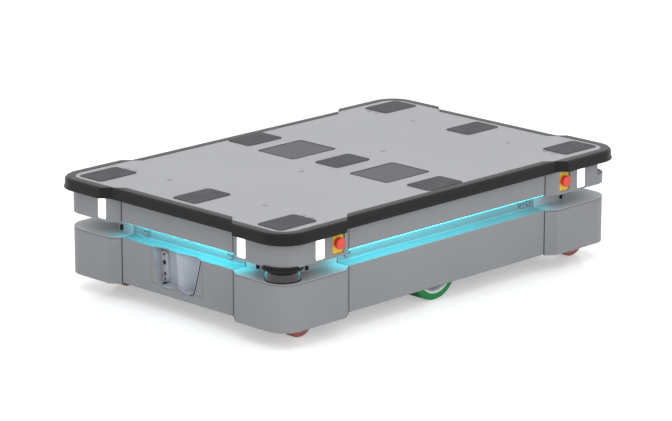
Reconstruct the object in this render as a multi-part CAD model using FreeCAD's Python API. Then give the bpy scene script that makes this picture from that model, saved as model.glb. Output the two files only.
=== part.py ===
import FreeCAD, Part
import math
import os

from FreeCAD import Vector

# Low, flat mobile robot that carries loads on its top plate.
# Millimetres. +X is the front, +Y the left side, +Z up, origin on the floor below the middle.

# Overall size
LENGTH = 1350.0
WIDTH = 910.0
HEIGHT = 322.0

# Top plate, its rubber pads and its hatches
PAD_RISE = 2.0
PAD_SINK = 1.0
PAD_X = 136.0
PAD_Y = 92.0
PAD_RADIUS = 12.0
PAD_CORNER_FROM_END = 116.0
PAD_CORNER_FROM_SIDE = 104.0
PAD_END_FROM_END = 140.0
PAD_SIDE_FROM_SIDE = 103.0
PLATE_THICK = 8.0
SKIRT_WALL = 4.0
HATCH_X = 172.0
HATCH_Y = 144.0
HATCH_FROM_SIDE = 273.0
HATCH_GAP = 2.0
HATCH_CLIP = 9.0
HATCH_THICK = 4.0
HATCH_LEDGE = 8.0
WELL_DEEP = 50.0
WELL_WALL = 2.0
SEAT_GAP = 0.3

# Threaded holes in the top plate
HOLE_RADIUS = 4.25
HOLE_FROM_PAD = 11.0
HOLE_INNER_Y = 187.0
HOLE_PAIR_IN = 21.0
HOLE_PAIR_OUT = 10.0
HOLE_CENTRE_X = 160.0

# Rubber bumper round the top plate
BUMPER_DEEP = 32.0
BUMPER_TALL = 31.0
BUMPER_RISE = 1.0
BUMPER_RADIUS = 82.0
BUMPER_BEND_FROM_END = 255.0
BUMPER_BEND_FROM_SIDE = 213.0
BUMPER_RUN = 26.0
BUMPER_LIP = 2.5
BUMPER_LIP_TALL = 5.0
BUMPER_STEP_DEEP = 8.0
BUMPER_STEP_TALL = 3.5
BUMPER_ROUND = 5.0
BEND_ROUND = 9.0

# Sheet covers of the upper and the lower body
MID_SETBACK = 22.0
COVER_INSET = 24.0
COVER_WALL = 2.5
COVER_RADIUS = 62.0
COVER_RUN = 31.0
SEAM_FROM_END = 261.0
SEAM_FROM_SIDE = 211.0
SEAM_GAP = 2.5
SCAN_GAP_TALL = 41.5
MIDDLE_RISE = 2.0
UPPER_FLANGE = 29.0
LID_AIR = 4.0
WHEEL_AIR = 8.0
LOWER_BOTTOM_CORNER = 48.5
LOWER_BOTTOM_MIDDLE = 51.5
LOWER_LIP = 14.0
LID_RIM = 4.0
LID_SHUT_GAP = 1.0
LID_TONGUE = 8.0
LID_TAB = 14.0
LID_TAB_FROM_END = 145.0
LID_TAB_FROM_SIDE = 106.0
SHEET_BEND = 3.0
FOOT_BEND = 6.0

# Upright wall at the back of the scan gap
WALL_BACK_END = 45.0
WALL_BACK_SIDE = 43.0
WALL_BEVEL_X = 65.5
WALL_BEVEL_Y = 85.0
WALL_ROUND = 10.0
TAB_WIDE = 22.0
TAB_TALL = 17.0
TAB_FROM_SEAM_SIDE = 45.0
TAB_FROM_SEAM_END = 55.0
END_CAP = 6.0
END_CAP_TALL = 15.0

# Lights
STRIP_OFF_WALL = 8.0
STRIP_WIDE = 9.0
STRIP_TALL = 4.0
STRIP_END_GAP = 18.0
SIGNAL_WIDE = 34.0
SIGNAL_RISE = 6.5
SIGNAL_THICK = 5.0
SIGNAL_RADIUS = 6.0
SIGNAL_PROUD = 0.3
SIGNAL_FROM_END = 133.0
SIGNAL_FROM_SIDE = 157.0

# Emergency stops
STOP_FROM_END = 202.0
STOP_DROP = 31.0
STOP_POCKET_WIDE = 44.0
STOP_POCKET_DROP = 60.0
STOP_POCKET_DEEP = 5.5
STOP_POCKET_RADIUS = 9.0
STOP_PLATE_THICK = 3.5
STOP_HEAD_RADIUS = 16.0
STOP_HEAD_OUT = 10.5
STOP_HEAD_THICK = 11.2
STOP_NECK_RADIUS = 12.5
STOP_NECK_LONG = 9.0
STOP_BASE_RADIUS = 16.0
STOP_BASE_LONG = 24.0
STOP_TRAVEL = 4.0
SHAFT_GAP = 0.05

# Control panel in the rear left corner
RECESS_DEEP = 62.0
RECESS_WIDE = 101.0
RECESS_TALL = 41.0
GROOVE_WIDE = 3.0
GROOVE_DEEP = 1.2
GROOVE_INSET = 6.0
PANEL_THICK = 3.0
PANEL_EDGE = 4.0
BUTTON_RADIUS = 8.0
BUTTON_OUT = 5.0
BUTTON_BACK = 9.0
BEZEL_RADIUS = 11.0
BEZEL_THICK = 2.0
BUTTON_SPACING = 28.0
KEY_LONG = 17.0
KEY_WIDE = 15.0
KEY_THICK = 2.4

# Safety scanners in the front left and the rear right corner
SCANNER_FROM_END = 51.0
SCANNER_FROM_SIDE = 55.0
SCANNER_FOOT_AIR = 1.5
SCANNER_FOOT_RADIUS = 49.0
SCANNER_FOOT_TALL = 2.5
SCANNER_WINDOW_TALL = 21.0
SCANNER_TOP_RADIUS = 38.0
SCANNER_NECK_RADIUS = 44.0
SCANNER_BODY_RISE = 4.0
SCANNER_BODY_TALL = 42.0
SCANNER_BODY_HALF = 44.0
SCANNER_PLATE = 6.0
WINDOW_WALL = 3.0
SCANNER_HOLE_GAP = 2.0

# Camera bay in the front lower panel
BAY_HALF = 100.0
BAY_BOTTOM = 78.5
BAY_GAP = 0.8
BAY_CHIN = 71.5
BAY_CHIN_START = 7.0
BAY_CHIN_END = 73.0
BAY_MOUTH_HALF = 95.0
BAY_FLOOR_HALF = 66.0
BAY_FLOOR = 75.0
BAY_CREASE_HALF = 20.0
BAY_CREASE = 89.0
BAY_DEEP = 35.0
BAY_BLOCK_DEEP = 53.0
BAY_BACK_HALF = 93.0
BAY_LOBE_TOP_Y = 54.0
BAY_LOBE_LOW_Y = 32.0
BAY_SCALLOP = 12.0
BAY_SCALLOP_Y = 44.0
CAMERA_WIDE = 25.0
CAMERA_TALL = 86.0
CAMERA_THICK = 21.0
CAMERA_OUT = 6.0
CAMERA_Y = 79.0
CAMERA_Z = 122.0
LENS_THICK = 1.2
LENS_PLACES = ((33.5, 4.2), (11.3, 6.8), (-19.8, 4.6), (-35.2, 3.6))

# Chassis frame
RAIL_WIDE = 30.0
RAIL_TALL = 82.0
RAIL_WALL = 5.0
RAIL_END_GAP = 24.0
END_BLOCK_TALL = 30.0
BEAM_TALL = 16.0
BEAM_WIDE = 44.0
FRONT_BEAM_FROM_CASTER = 95.0
MIDDLE_BEAM_X = 250.0
BACK_BEAM_X = -150.0
MEMBER_WIDE = 24.0
END_MEMBER_IN = 53.0
OUTRIGGER_AIR = 10.0
POST_SIDE = 36.0
POST_OVER_ARM = 8.0
TOP_RAIL_TALL = 16.0
TRAY_DROP = 23.0
TRAY_WALL = 2.5
TRAY_LAP = 13.0

# Bogie arms, each with a drive wheel and a front caster
PIVOT_X = 190.0
PIVOT_DROP = 30.0
PIVOT_RADIUS = 12.0
PIVOT_BOSS_RADIUS = 27.0
ARM_THICK = 18.0
ARM_WHEEL_GAP = 15.0
ARM_LOW_TOP = 134.0
ARM_WEB_TALL = 16.0
ARM_WEB_FROM_CASTER = 93.0
ARM_SIDE_GAP = 0.5
DRIVE_X = 17.0
DRIVE_RADIUS = 85.0
DRIVE_RIM_RADIUS = 66.0
DRIVE_FROM_SIDE = 56.0
DRIVE_WIDE = 80.0
SHAFT_RADIUS = 16.0
MOTOR_RADIUS = 39.0
MOTOR_LONG = 94.0
MOTOR_RAIL_GAP = 13.0
GEARBOX_HALF = 43.0
GEARBOX_LONG = 34.0
TYRE_ROUND = 6.0

# Swivel casters
CASTER_FROM_END = 106.0
CASTER_FROM_SIDE = 94.5
CASTER_TRAIL = 30.0
CASTER_RADIUS = 50.0
CASTER_WIDE = 40.0
CASTER_BORE = 6.0
FORK_HEAD_TALL = 20.0
CASTER_PLATE_THICK = 8.0
CASTER_PLATE_HALF = 46.0
STEM_RADIUS = 9.0
FORK_LEG = 5.0
FORK_GAP = 1.5
FORK_CROWN_THICK = 7.0
FORK_HEAD_RADIUS = 33.0
FORK_WHEEL_GAP = 5.0

# Battery and electronics between the rails
BATTERY_END_GAP = 37.0
BATTERY_X1 = -70.0
BATTERY_SIDE_GAP = 4.0
BATTERY_TALL = 96.0
COMPUTER_GAP = 40.0
COMPUTER_END_GAP = 27.0
DRIVES_X0 = 60.0
DRIVES_X1 = 275.0
COMPUTER_TALL = 74.0
FIN_THICK = 4.0
FIN_PITCH = 12.0
FIN_TALL = 16.0

HALF_LENGTH = LENGTH / 2
HALF_WIDTH = WIDTH / 2
PLATE_TOP = HEIGHT - PAD_RISE
PLATE_BOTTOM = PLATE_TOP - PLATE_THICK
PLATE_SEAT_X = HALF_LENGTH - BUMPER_DEEP
PLATE_SEAT_Y = HALF_WIDTH - BUMPER_DEEP
BUMPER_BOTTOM = PLATE_TOP + BUMPER_RISE - BUMPER_TALL
BUMPER_BEND_X = HALF_LENGTH - BUMPER_BEND_FROM_END
BUMPER_BEND_Y = HALF_WIDTH - BUMPER_BEND_FROM_SIDE
PAD_CORNER_X = HALF_LENGTH - PAD_CORNER_FROM_END
PAD_CORNER_Y = HALF_WIDTH - PAD_CORNER_FROM_SIDE
PAD_END_X = HALF_LENGTH - PAD_END_FROM_END
PAD_SIDE_Y = HALF_WIDTH - PAD_SIDE_FROM_SIDE
HATCH_CENTRE_Y = HALF_WIDTH - HATCH_FROM_SIDE
HOLE_X = PAD_CORNER_X - PAD_X / 2 - HOLE_FROM_PAD
HOLE_MIDDLE_Y = PAD_CORNER_Y - HOLE_PAIR_IN
HOLE_OUTER_Y = PAD_CORNER_Y + HOLE_PAIR_OUT

COVER_X = HALF_LENGTH - COVER_INSET
COVER_Y = HALF_WIDTH - COVER_INSET
MIDDLE_X = COVER_X - MID_SETBACK
MIDDLE_Y = COVER_Y - MID_SETBACK
SEAM_X = COVER_X - SEAM_FROM_END
SEAM_Y = COVER_Y - SEAM_FROM_SIDE
TAB_X = SEAM_X - TAB_FROM_SEAM_SIDE
TAB_Y = SEAM_Y - TAB_FROM_SEAM_END
LID_TAB_X = COVER_X - LID_TAB_FROM_END
LID_TAB_Y = COVER_Y - LID_TAB_FROM_SIDE
WALL_X = MIDDLE_X - WALL_BACK_END
WALL_Y = MIDDLE_Y - WALL_BACK_SIDE
WALL_END_X = WALL_X - WALL_BEVEL_X
WALL_END_Y = WALL_Y - WALL_BEVEL_Y

CASTER_X = COVER_X - CASTER_FROM_END
CASTER_Y = COVER_Y - CASTER_FROM_SIDE
CASTER_PLATE_Z = 2 * CASTER_RADIUS + FORK_WHEEL_GAP + FORK_CROWN_THICK + FORK_HEAD_TALL
DRIVE_OUTER_Y = COVER_Y - DRIVE_FROM_SIDE
DRIVE_INNER_Y = DRIVE_OUTER_Y - DRIVE_WIDE
ARM_OUTER_Y = DRIVE_INNER_Y - ARM_WHEEL_GAP
ARM_INNER_Y = ARM_OUTER_Y - ARM_THICK
ARM_WEB_START_X = CASTER_X - ARM_WEB_FROM_CASTER
RAIL_OUTER_Y = ARM_INNER_Y - MOTOR_LONG - MOTOR_RAIL_GAP
RAIL_INNER_Y = RAIL_OUTER_Y - RAIL_WIDE
RAIL_TOP = CASTER_PLATE_Z + CASTER_PLATE_THICK
RAIL_BOTTOM = RAIL_TOP - RAIL_TALL
RAIL_END_X = MIDDLE_X - RAIL_END_GAP
PIVOT_Z = RAIL_TOP - PIVOT_DROP
BEAM_TOP = RAIL_TOP + BEAM_TALL
OUTRIGGER_Z = CASTER_PLATE_Z + ARM_WEB_TALL + OUTRIGGER_AIR
FRONT_BEAM_X = CASTER_X - FRONT_BEAM_FROM_CASTER
END_MEMBER_X = RAIL_END_X - END_MEMBER_IN
POST_Y = ARM_INNER_Y + POST_OVER_ARM
TRAY_BOTTOM = RAIL_BOTTOM - TRAY_DROP
TRAY_TOP = TRAY_BOTTOM + TRAY_WALL
TRAY_FLANGE_TOP = RAIL_BOTTOM + TRAY_LAP
BATTERY_X0 = BATTERY_END_GAP - END_MEMBER_X
COMPUTER_X0 = DRIVES_X1 + COMPUTER_GAP
COMPUTER_X1 = END_MEMBER_X - COMPUTER_END_GAP

LOWER_TOP = max(OUTRIGGER_Z + BEAM_TALL + LID_AIR, 2 * DRIVE_RADIUS + WHEEL_AIR) + COVER_WALL
UPPER_BOTTOM_CORNER = LOWER_TOP + SCAN_GAP_TALL
UPPER_BOTTOM_MIDDLE = UPPER_BOTTOM_CORNER + MIDDLE_RISE
SIGNAL_X = COVER_X - SIGNAL_FROM_END
SIGNAL_Y = COVER_Y - SIGNAL_FROM_SIDE
SIGNAL_BOTTOM = UPPER_BOTTOM_CORNER + SIGNAL_RISE
STOP_X = COVER_X - STOP_FROM_END
STOP_Z = BUMPER_BOTTOM - STOP_DROP
STOP_POCKET_BOTTOM = BUMPER_BOTTOM - STOP_POCKET_DROP
RECESS_X = COVER_X - RECESS_DEEP
RECESS_Y = COVER_Y - RECESS_WIDE
RECESS_FLOOR = BUMPER_BOTTOM - RECESS_TALL
SCANNER_X = COVER_X - SCANNER_FROM_END
SCANNER_Y = COVER_Y - SCANNER_FROM_SIDE
SCANNER_FOOT_Z = LOWER_TOP + SCANNER_FOOT_AIR
SCANNER_TOP_Z = SCANNER_FOOT_Z + SCANNER_FOOT_TALL + SCANNER_WINDOW_TALL
SCANNER_BODY_Z = UPPER_BOTTOM_CORNER + SCANNER_BODY_RISE
SCANNER_BODY_TOP = SCANNER_BODY_Z + SCANNER_BODY_TALL
FAR = 900.0

CORNERS = {"front_left": (1, 1), "front_right": (1, -1), "rear_left": (-1, 1), "rear_right": (-1, -1)}
SCANNER_CORNERS = ("front_left", "rear_right")
SIDES = {"left": 1, "right": -1}

PLANES = {
    "xy": (lambda a, b, c: Vector(a, b, c), Vector(0, 0, 1)),
    "xz": (lambda a, b, c: Vector(a, c, b), Vector(0, 1, 0)),
    "yz": (lambda a, b, c: Vector(c, a, b), Vector(1, 0, 0)),
}


def box(x0, x1, y0, y1, z0, z1):
    return Part.makeBox(x1 - x0, y1 - y0, z1 - z0, Vector(x0, y0, z0))


def rounded_wire(points, radii, plane, level):
    """Closed wire through the points, each vertex rounded by its radius."""
    lift = PLANES[plane][0]
    count = len(points)
    edges = []
    last_end = None
    first_start = None
    for i in range(count):
        corner = lift(*points[i], level)
        before = lift(*points[i - 1], level) - corner
        after = lift(*points[(i + 1) % count], level) - corner
        before.normalize()
        after.normalize()
        radius = radii[i]
        half = before.getAngle(after) / 2
        if radius < 0.01 or half > math.pi / 2 - 0.001:
            start = end = corner
        else:
            reach = radius / math.tan(half)
            start = corner + before * reach
            end = corner + after * reach
            inward = before + after
            inward.normalize()
            middle = corner + inward * (radius / math.sin(half) - radius)
        if last_end is None:
            first_start = start
        elif last_end.distanceToPoint(start) > 1e-6:
            edges.append(Part.makeLine(last_end, start))
        if start is not end:
            edges.append(Part.Arc(start, middle, end).toShape())
        last_end = end
    if last_end.distanceToPoint(first_start) > 1e-6:
        edges.append(Part.makeLine(last_end, first_start))
    return Part.Wire(edges)


def prism(points, radii, low, high, plane="xy"):
    """Solid between two levels with a rounded outline; radii may be one number."""
    if not isinstance(radii, (list, tuple)):
        radii = [radii] * len(points)
    face = Part.Face(rounded_wire(points, radii, plane, low))
    return face.extrude(PLANES[plane][1] * (high - low))


def rectangle(a0, a1, b0, b1):
    return [(a0, b0), (a1, b0), (a1, b1), (a0, b1)]


def cylinder(radius, start, direction, length):
    return Part.makeCylinder(radius, length, Vector(*start), Vector(*direction))


def turned(profile, axis_point, axis_direction):
    """Full turn of a closed profile of 3-D points."""
    points = [Vector(*p) for p in profile]
    face = Part.Face(Part.makePolygon(points + [points[0]]))
    return face.revolve(Vector(*axis_point), Vector(*axis_direction), 360)


def fused(shapes):
    whole = shapes[0]
    if len(shapes) > 1:
        whole = whole.fuse(shapes[1:])
    return whole.removeSplitter()


def mirrored(shape, sign_x, sign_y):
    """Copy of a front left shape in the corner or side that the signs name."""
    if sign_x < 0:
        shape = shape.mirror(Vector(0, 0, 0), Vector(1, 0, 0))
    if sign_y < 0:
        shape = shape.mirror(Vector(0, 0, 0), Vector(0, 1, 0))
    return shape


def round_edges(shape, radius, wanted):
    """Fillet the edges whose centre and length the test accepts."""
    edges = [edge for edge in shape.Edges if wanted(edge)]
    return shape.makeFillet(radius, edges) if edges else shape


def save(name, shape):
    if not shape.isValid():
        raise ValueError(name + " is not a valid shape")
    shape.exportStep(os.path.join("parts", name + ".step"))


def body_outline(half_x, half_y, bend_x, bend_y, run, radius, bend_radius, inset):
    """Plan outline with proud rounded corners and set-back middles, moved inwards by inset."""
    shift = inset * (math.hypot(run, MID_SETBACK) - run) / MID_SETBACK
    corner_x = half_x - inset
    corner_y = half_y - inset
    start_x = bend_x + shift
    start_y = bend_y + shift
    quarter = [
        (corner_x - MID_SETBACK, start_y, bend_radius[0] + inset if bend_radius[0] else 0.0),
        (corner_x, start_y + run, max(bend_radius[1] - inset, 0.5)),
        (corner_x, corner_y, radius - inset),
        (start_x + run, corner_y, max(bend_radius[1] - inset, 0.5)),
        (start_x, corner_y - MID_SETBACK, bend_radius[0] + inset if bend_radius[0] else 0.0),
    ]
    whole = quarter
    whole = whole + [(-x, y, r) for x, y, r in reversed(quarter)]
    whole = whole + [(-x, -y, r) for x, y, r in quarter]
    whole = whole + [(x, -y, r) for x, y, r in reversed(quarter)]
    return [(x, y) for x, y, r in whole], [r for x, y, r in whole]


def bumper_prism(inset, low, high):
    points, radii = body_outline(HALF_LENGTH, HALF_WIDTH, BUMPER_BEND_X, BUMPER_BEND_Y,
                                 BUMPER_RUN, BUMPER_RADIUS, (BEND_ROUND, BEND_ROUND), inset)
    return prism(points, radii, low, high)


def cover_prism(inset, low, high):
    points, radii = body_outline(COVER_X, COVER_Y, SEAM_X, SEAM_Y,
                                 COVER_RUN, COVER_RADIUS, (0.0, BEND_ROUND), inset)
    return prism(points, radii, low, high)


def wall_prism(inset, low, high):
    """Everything inside the upright wall at the back of the scan gap."""
    x = WALL_X - inset
    y = WALL_Y - inset
    lean = inset * math.tan(math.atan2(WALL_X - WALL_END_X, WALL_Y - WALL_END_Y) / 2)
    end_y = WALL_END_Y - lean
    lean = inset * math.tan(math.atan2(WALL_Y - WALL_END_Y, WALL_X - WALL_END_X) / 2)
    end_x = WALL_END_X - lean
    points = [(x, -end_y), (x, end_y), (end_x, y), (-end_x, y),
              (-x, end_y), (-x, -end_y), (-end_x, -y), (end_x, -y)]
    return prism(points, max(WALL_ROUND - inset, 1.0), low, high)


def corner_region(low, high):
    """Space of the front left corner piece, past both seams."""
    return box(SEAM_X + SEAM_GAP / 2, FAR, SEAM_Y + SEAM_GAP / 2, FAR, low, high)


def pad_places():
    places = [(0.0, 0.0)]
    places += [(s * PAD_END_X, 0.0) for s in (1, -1)]
    places += [(0.0, s * PAD_SIDE_Y) for s in (1, -1)]
    places += [(sx * PAD_CORNER_X, sy * PAD_CORNER_Y) for sx, sy in CORNERS.values()]
    return places


def pad_prism(place, grow, low, high):
    x, y = place
    outline = rectangle(x - PAD_X / 2 - grow, x + PAD_X / 2 + grow, y - PAD_Y / 2 - grow, y + PAD_Y / 2 + grow)
    return prism(outline, PAD_RADIUS + grow, low, high)


def hole_places():
    places = [(s * HOLE_CENTRE_X, 0.0) for s in (1, -1)]
    for y in (HOLE_INNER_Y, HOLE_MIDDLE_Y, HOLE_OUTER_Y):
        places += [(sx * HOLE_X, sy * y) for sx, sy in CORNERS.values()]
    return places


def hatch_box(side, grow, low, high):
    y = side * HATCH_CENTRE_Y
    return box(-HATCH_X / 2 - grow, HATCH_X / 2 + grow, y - HATCH_Y / 2 - grow, y + HATCH_Y / 2 + grow, low, high)


def make_top_plate():
    """Steel plate with a down-turned skirt, pad beds, threaded holes and hatch openings."""
    plate = bumper_prism(BUMPER_DEEP, BUMPER_BOTTOM, PLATE_TOP)
    plate = plate.cut(bumper_prism(BUMPER_DEEP + SKIRT_WALL, BUMPER_BOTTOM - 1, PLATE_BOTTOM))
    cuts = [pad_prism(place, 0.0, PLATE_TOP - PAD_SINK, PLATE_TOP + 1) for place in pad_places()]
    cuts += [cylinder(HOLE_RADIUS, (x, y, PLATE_BOTTOM - 1), (0, 0, 1), PLATE_THICK + 2) for x, y in hole_places()]
    for side in SIDES.values():
        cuts.append(hatch_box(side, 0.0, PLATE_TOP - HATCH_THICK - SEAT_GAP, PLATE_TOP + 1))
        cuts.append(hatch_box(side, -HATCH_LEDGE, PLATE_BOTTOM - 1, PLATE_TOP))
    return plate.cut(cuts)


def make_pads():
    pads = []
    for place in pad_places():
        pad = pad_prism(place, 0.0, PLATE_TOP - PAD_SINK, HEIGHT)
        pads.append(round_edges(pad, 0.8, lambda e: e.CenterOfMass.z > HEIGHT - 0.01))
    return Part.makeCompound(pads)


def make_bumper():
    """Rubber ring with a lip below, a step above and rounded top edges."""
    shelf_z = PLATE_TOP + BUMPER_RISE - BUMPER_STEP_TALL
    side = bumper_prism(BUMPER_LIP, BUMPER_BOTTOM, shelf_z)
    side = round_edges(side, BUMPER_ROUND, lambda e: e.CenterOfMass.z > shelf_z - 0.01)
    lip = bumper_prism(0.0, BUMPER_BOTTOM, BUMPER_BOTTOM + BUMPER_LIP_TALL)
    lip = round_edges(lip, BUMPER_LIP * 0.9, lambda e: e.CenterOfMass.z > BUMPER_BOTTOM + BUMPER_LIP_TALL - 0.01)
    crown = bumper_prism(BUMPER_LIP + BUMPER_STEP_DEEP, shelf_z - 1, PLATE_TOP + BUMPER_RISE)
    crown = round_edges(crown, BUMPER_STEP_TALL * 0.6, lambda e: e.CenterOfMass.z > PLATE_TOP + BUMPER_RISE - 0.01)
    ring = side.fuse([lip, crown])
    return ring.cut(bumper_prism(BUMPER_DEEP, BUMPER_BOTTOM - 1, HEIGHT + 1)).removeSplitter()


def signal_windows(low_out, high_out, shrink):
    """The two signal light windows of the front left corner, one on each face."""
    top = BUMPER_BOTTOM - shrink
    bottom = SIGNAL_BOTTOM + shrink
    half = SIGNAL_WIDE / 2 - shrink
    radii = [SIGNAL_RADIUS - shrink, SIGNAL_RADIUS - shrink, 0.0, 0.0]
    on_front = prism(rectangle(SIGNAL_Y - half, SIGNAL_Y + half, bottom, top), radii,
                     COVER_X + low_out, COVER_X + high_out, "yz")
    on_side = prism(rectangle(SIGNAL_X - half, SIGNAL_X + half, bottom, top), radii,
                    COVER_Y + low_out, COVER_Y + high_out, "xz")
    return [on_front, on_side]


def stop_pocket(grow, low_out, high_out):
    """Rounded pocket of the emergency stop, open upwards under the bumper."""
    half = STOP_POCKET_WIDE / 2 + grow
    outline = rectangle(STOP_X - half, STOP_X + half, STOP_POCKET_BOTTOM - grow, BUMPER_BOTTOM)
    radius = STOP_POCKET_RADIUS + grow
    return prism(outline, [radius, radius, 0.0, 0.0], COVER_Y + low_out, COVER_Y + high_out, "xz")


def button_places():
    centre_y = (RECESS_Y + COVER_Y) / 2
    return [centre_y - BUTTON_SPACING, centre_y, centre_y + BUTTON_SPACING]


def button_z():
    return (RECESS_FLOOR + BUMPER_BOTTOM) / 2


def make_upper_corner_cover(name):
    """Rounded sheet cover with both signal windows, the stop pocket and its corner's own cut-out."""
    cover = cover_prism(0.0, UPPER_BOTTOM_CORNER, BUMPER_BOTTOM)
    hollow = cover_prism(COVER_WALL, UPPER_BOTTOM_CORNER + COVER_WALL, BUMPER_BOTTOM - COVER_WALL)
    cover = cover.cut([hollow, wall_prism(0.0, UPPER_BOTTOM_CORNER - 1, BUMPER_BOTTOM + 1)])
    cover = cover.common(corner_region(UPPER_BOTTOM_CORNER, BUMPER_BOTTOM))
    pocket = stop_pocket(COVER_WALL, -STOP_POCKET_DEEP - STOP_PLATE_THICK, -COVER_WALL)
    cover = cover.fuse(pocket)
    cuts = signal_windows(-SIGNAL_THICK, 1, 0.0)
    cuts.append(stop_pocket(0.0, -STOP_POCKET_DEEP - STOP_PLATE_THICK, 1))
    if name in SCANNER_CORNERS:
        cuts.append(cylinder(SCANNER_NECK_RADIUS + SCANNER_HOLE_GAP, (SCANNER_X, SCANNER_Y, UPPER_BOTTOM_CORNER - 1),
                             (0, 0, 1), COVER_WALL + 2))
    if name == "rear_left":
        cuts.append(box(RECESS_X, FAR, RECESS_Y, FAR, RECESS_FLOOR, BUMPER_BOTTOM + 1))
        inside = cover_prism(0.0, RECESS_FLOOR - COVER_WALL, BUMPER_BOTTOM)
        liner = box(RECESS_X - COVER_WALL, FAR, RECESS_Y - COVER_WALL, FAR, RECESS_FLOOR - COVER_WALL, BUMPER_BOTTOM)
        cover = cover.fuse(liner.common(inside))
        ring = cover_prism(GROOVE_INSET, RECESS_FLOOR - GROOVE_DEEP, RECESS_FLOOR)
        cuts.append(ring.cut(cover_prism(GROOVE_INSET + GROOVE_WIDE, RECESS_FLOOR - GROOVE_DEEP - 1, HEIGHT)))
        for y in button_places():
            cuts.append(cylinder(BUTTON_RADIUS + SHAFT_GAP, (RECESS_X - COVER_WALL - 1, y, button_z()), (1, 0, 0), 9))
    cover = cover.cut(cuts).removeSplitter()
    return mirrored(cover, *CORNERS[name])


def make_signal_lights():
    lights = []
    for signs in CORNERS.values():
        lights += [mirrored(w, *signs) for w in signal_windows(-SIGNAL_THICK, SIGNAL_PROUD, 0.0)]
    return Part.makeCompound(lights)


def make_stop_plates():
    """Yellow plates at the bottom of the pockets, each with its switch housing behind."""
    plates = []
    for signs in CORNERS.values():
        face_y = COVER_Y - STOP_POCKET_DEEP
        plate = stop_pocket(0.0, -STOP_POCKET_DEEP - STOP_PLATE_THICK, -STOP_POCKET_DEEP)
        base = cylinder(STOP_BASE_RADIUS, (STOP_X, face_y - STOP_PLATE_THICK, STOP_Z), (0, -1, 0), STOP_BASE_LONG)
        bore = cylinder(STOP_NECK_RADIUS + SHAFT_GAP, (STOP_X, face_y + 1, STOP_Z), (0, -1, 0),
                        STOP_NECK_LONG + STOP_TRAVEL + 2)
        plates.append(mirrored(plate.fuse(base).cut(bore).removeSplitter(), *signs))
    return Part.makeCompound(plates)


def make_stop_head(name):
    """Red mushroom head on its sliding neck."""
    front = COVER_Y + STOP_HEAD_OUT
    back = front - STOP_HEAD_THICK
    end = COVER_Y - STOP_POCKET_DEEP - STOP_NECK_LONG
    edge = 1.5
    profile = [(0, end), (STOP_NECK_RADIUS, end), (STOP_NECK_RADIUS, back), (STOP_HEAD_RADIUS - edge, back),
               (STOP_HEAD_RADIUS, back + edge), (STOP_HEAD_RADIUS, front - edge), (STOP_HEAD_RADIUS - edge, front),
               (0, front)]
    head = turned([(STOP_X + r, y, STOP_Z) for r, y in profile], (STOP_X, 0, STOP_Z), (0, 1, 0))
    return mirrored(head, *CORNERS[name])


def make_control_panel():
    """Black fascia in the rear left recess, with a bezel ring round each control."""
    plate = box(RECESS_X, RECESS_X + PANEL_THICK, RECESS_Y + PANEL_EDGE, COVER_Y - PANEL_EDGE,
                RECESS_FLOOR + PANEL_EDGE / 2, BUMPER_BOTTOM - PANEL_EDGE / 2)
    solids = [plate]
    bores = []
    for y in button_places():
        solids.append(cylinder(BEZEL_RADIUS, (RECESS_X, y, button_z()), (1, 0, 0), PANEL_THICK + BEZEL_THICK))
        bores.append(cylinder(BUTTON_RADIUS + SHAFT_GAP, (RECESS_X - 1, y, button_z()), (1, 0, 0), 12))
    return mirrored(fused(solids).cut(bores), -1, 1)


def make_button(index):
    start = RECESS_X - BUTTON_BACK
    length = BUTTON_BACK + PANEL_THICK + BEZEL_THICK + BUTTON_OUT
    button = cylinder(BUTTON_RADIUS, (start, button_places()[index], button_z()), (1, 0, 0), length)
    end = start + length
    button = round_edges(button, 1.5, lambda e: e.CenterOfMass.x > end - 0.01 and e.Length > 10)
    return mirrored(button, -1, 1)


def make_key_switch():
    """Lock barrel with the key in it."""
    y = button_places()[2]
    start = RECESS_X - BUTTON_BACK
    length = BUTTON_BACK + PANEL_THICK + BEZEL_THICK + 1
    barrel = cylinder(BUTTON_RADIUS, (start, y, button_z()), (1, 0, 0), length)
    x = start + length
    shank = box(x - 1, x + KEY_LONG / 2, y - KEY_THICK / 2, y + KEY_THICK / 2, button_z() - 3, button_z() + 3)
    bow = prism(rectangle(x + KEY_LONG / 3, x + KEY_LONG, button_z() - KEY_WIDE / 2, button_z() + KEY_WIDE / 2), 4.0,
                y - KEY_THICK / 2, y + KEY_THICK / 2, "xz")
    eye = cylinder(2.2, (x + KEY_LONG * 0.72, y - KEY_THICK, button_z()), (0, 1, 0), KEY_THICK * 2)
    return mirrored(fused([barrel, shank, bow]).cut(eye), -1, 1)


def make_lower_corner_cover(name):
    """Rounded sheet cover over a caster, with notches for the lid's tabs."""
    top = LOWER_TOP - LID_RIM - LID_SHUT_GAP
    cover = cover_prism(0.0, LOWER_BOTTOM_CORNER, top)
    cover = cover.cut(cover_prism(COVER_WALL, LOWER_BOTTOM_CORNER - 1, top + 1))
    cover = cover.common(corner_region(LOWER_BOTTOM_CORNER, top))
    tabs = lid_tabs(0.2, top - 3.2, top + 1)
    return mirrored(cover.cut(tabs), *CORNERS[name])


def lid_tabs(grow, low, high):
    """Short tabs that reach down from the lid's rim into the cover, one on each face."""
    half = LID_TAB / 2 + grow
    on_side = box(LID_TAB_X - half, LID_TAB_X + half, COVER_Y - COVER_WALL, COVER_Y, low, high)
    on_front = box(COVER_X - COVER_WALL, COVER_X, LID_TAB_Y - half, LID_TAB_Y + half, low, high)
    return [on_side, on_front]


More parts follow.
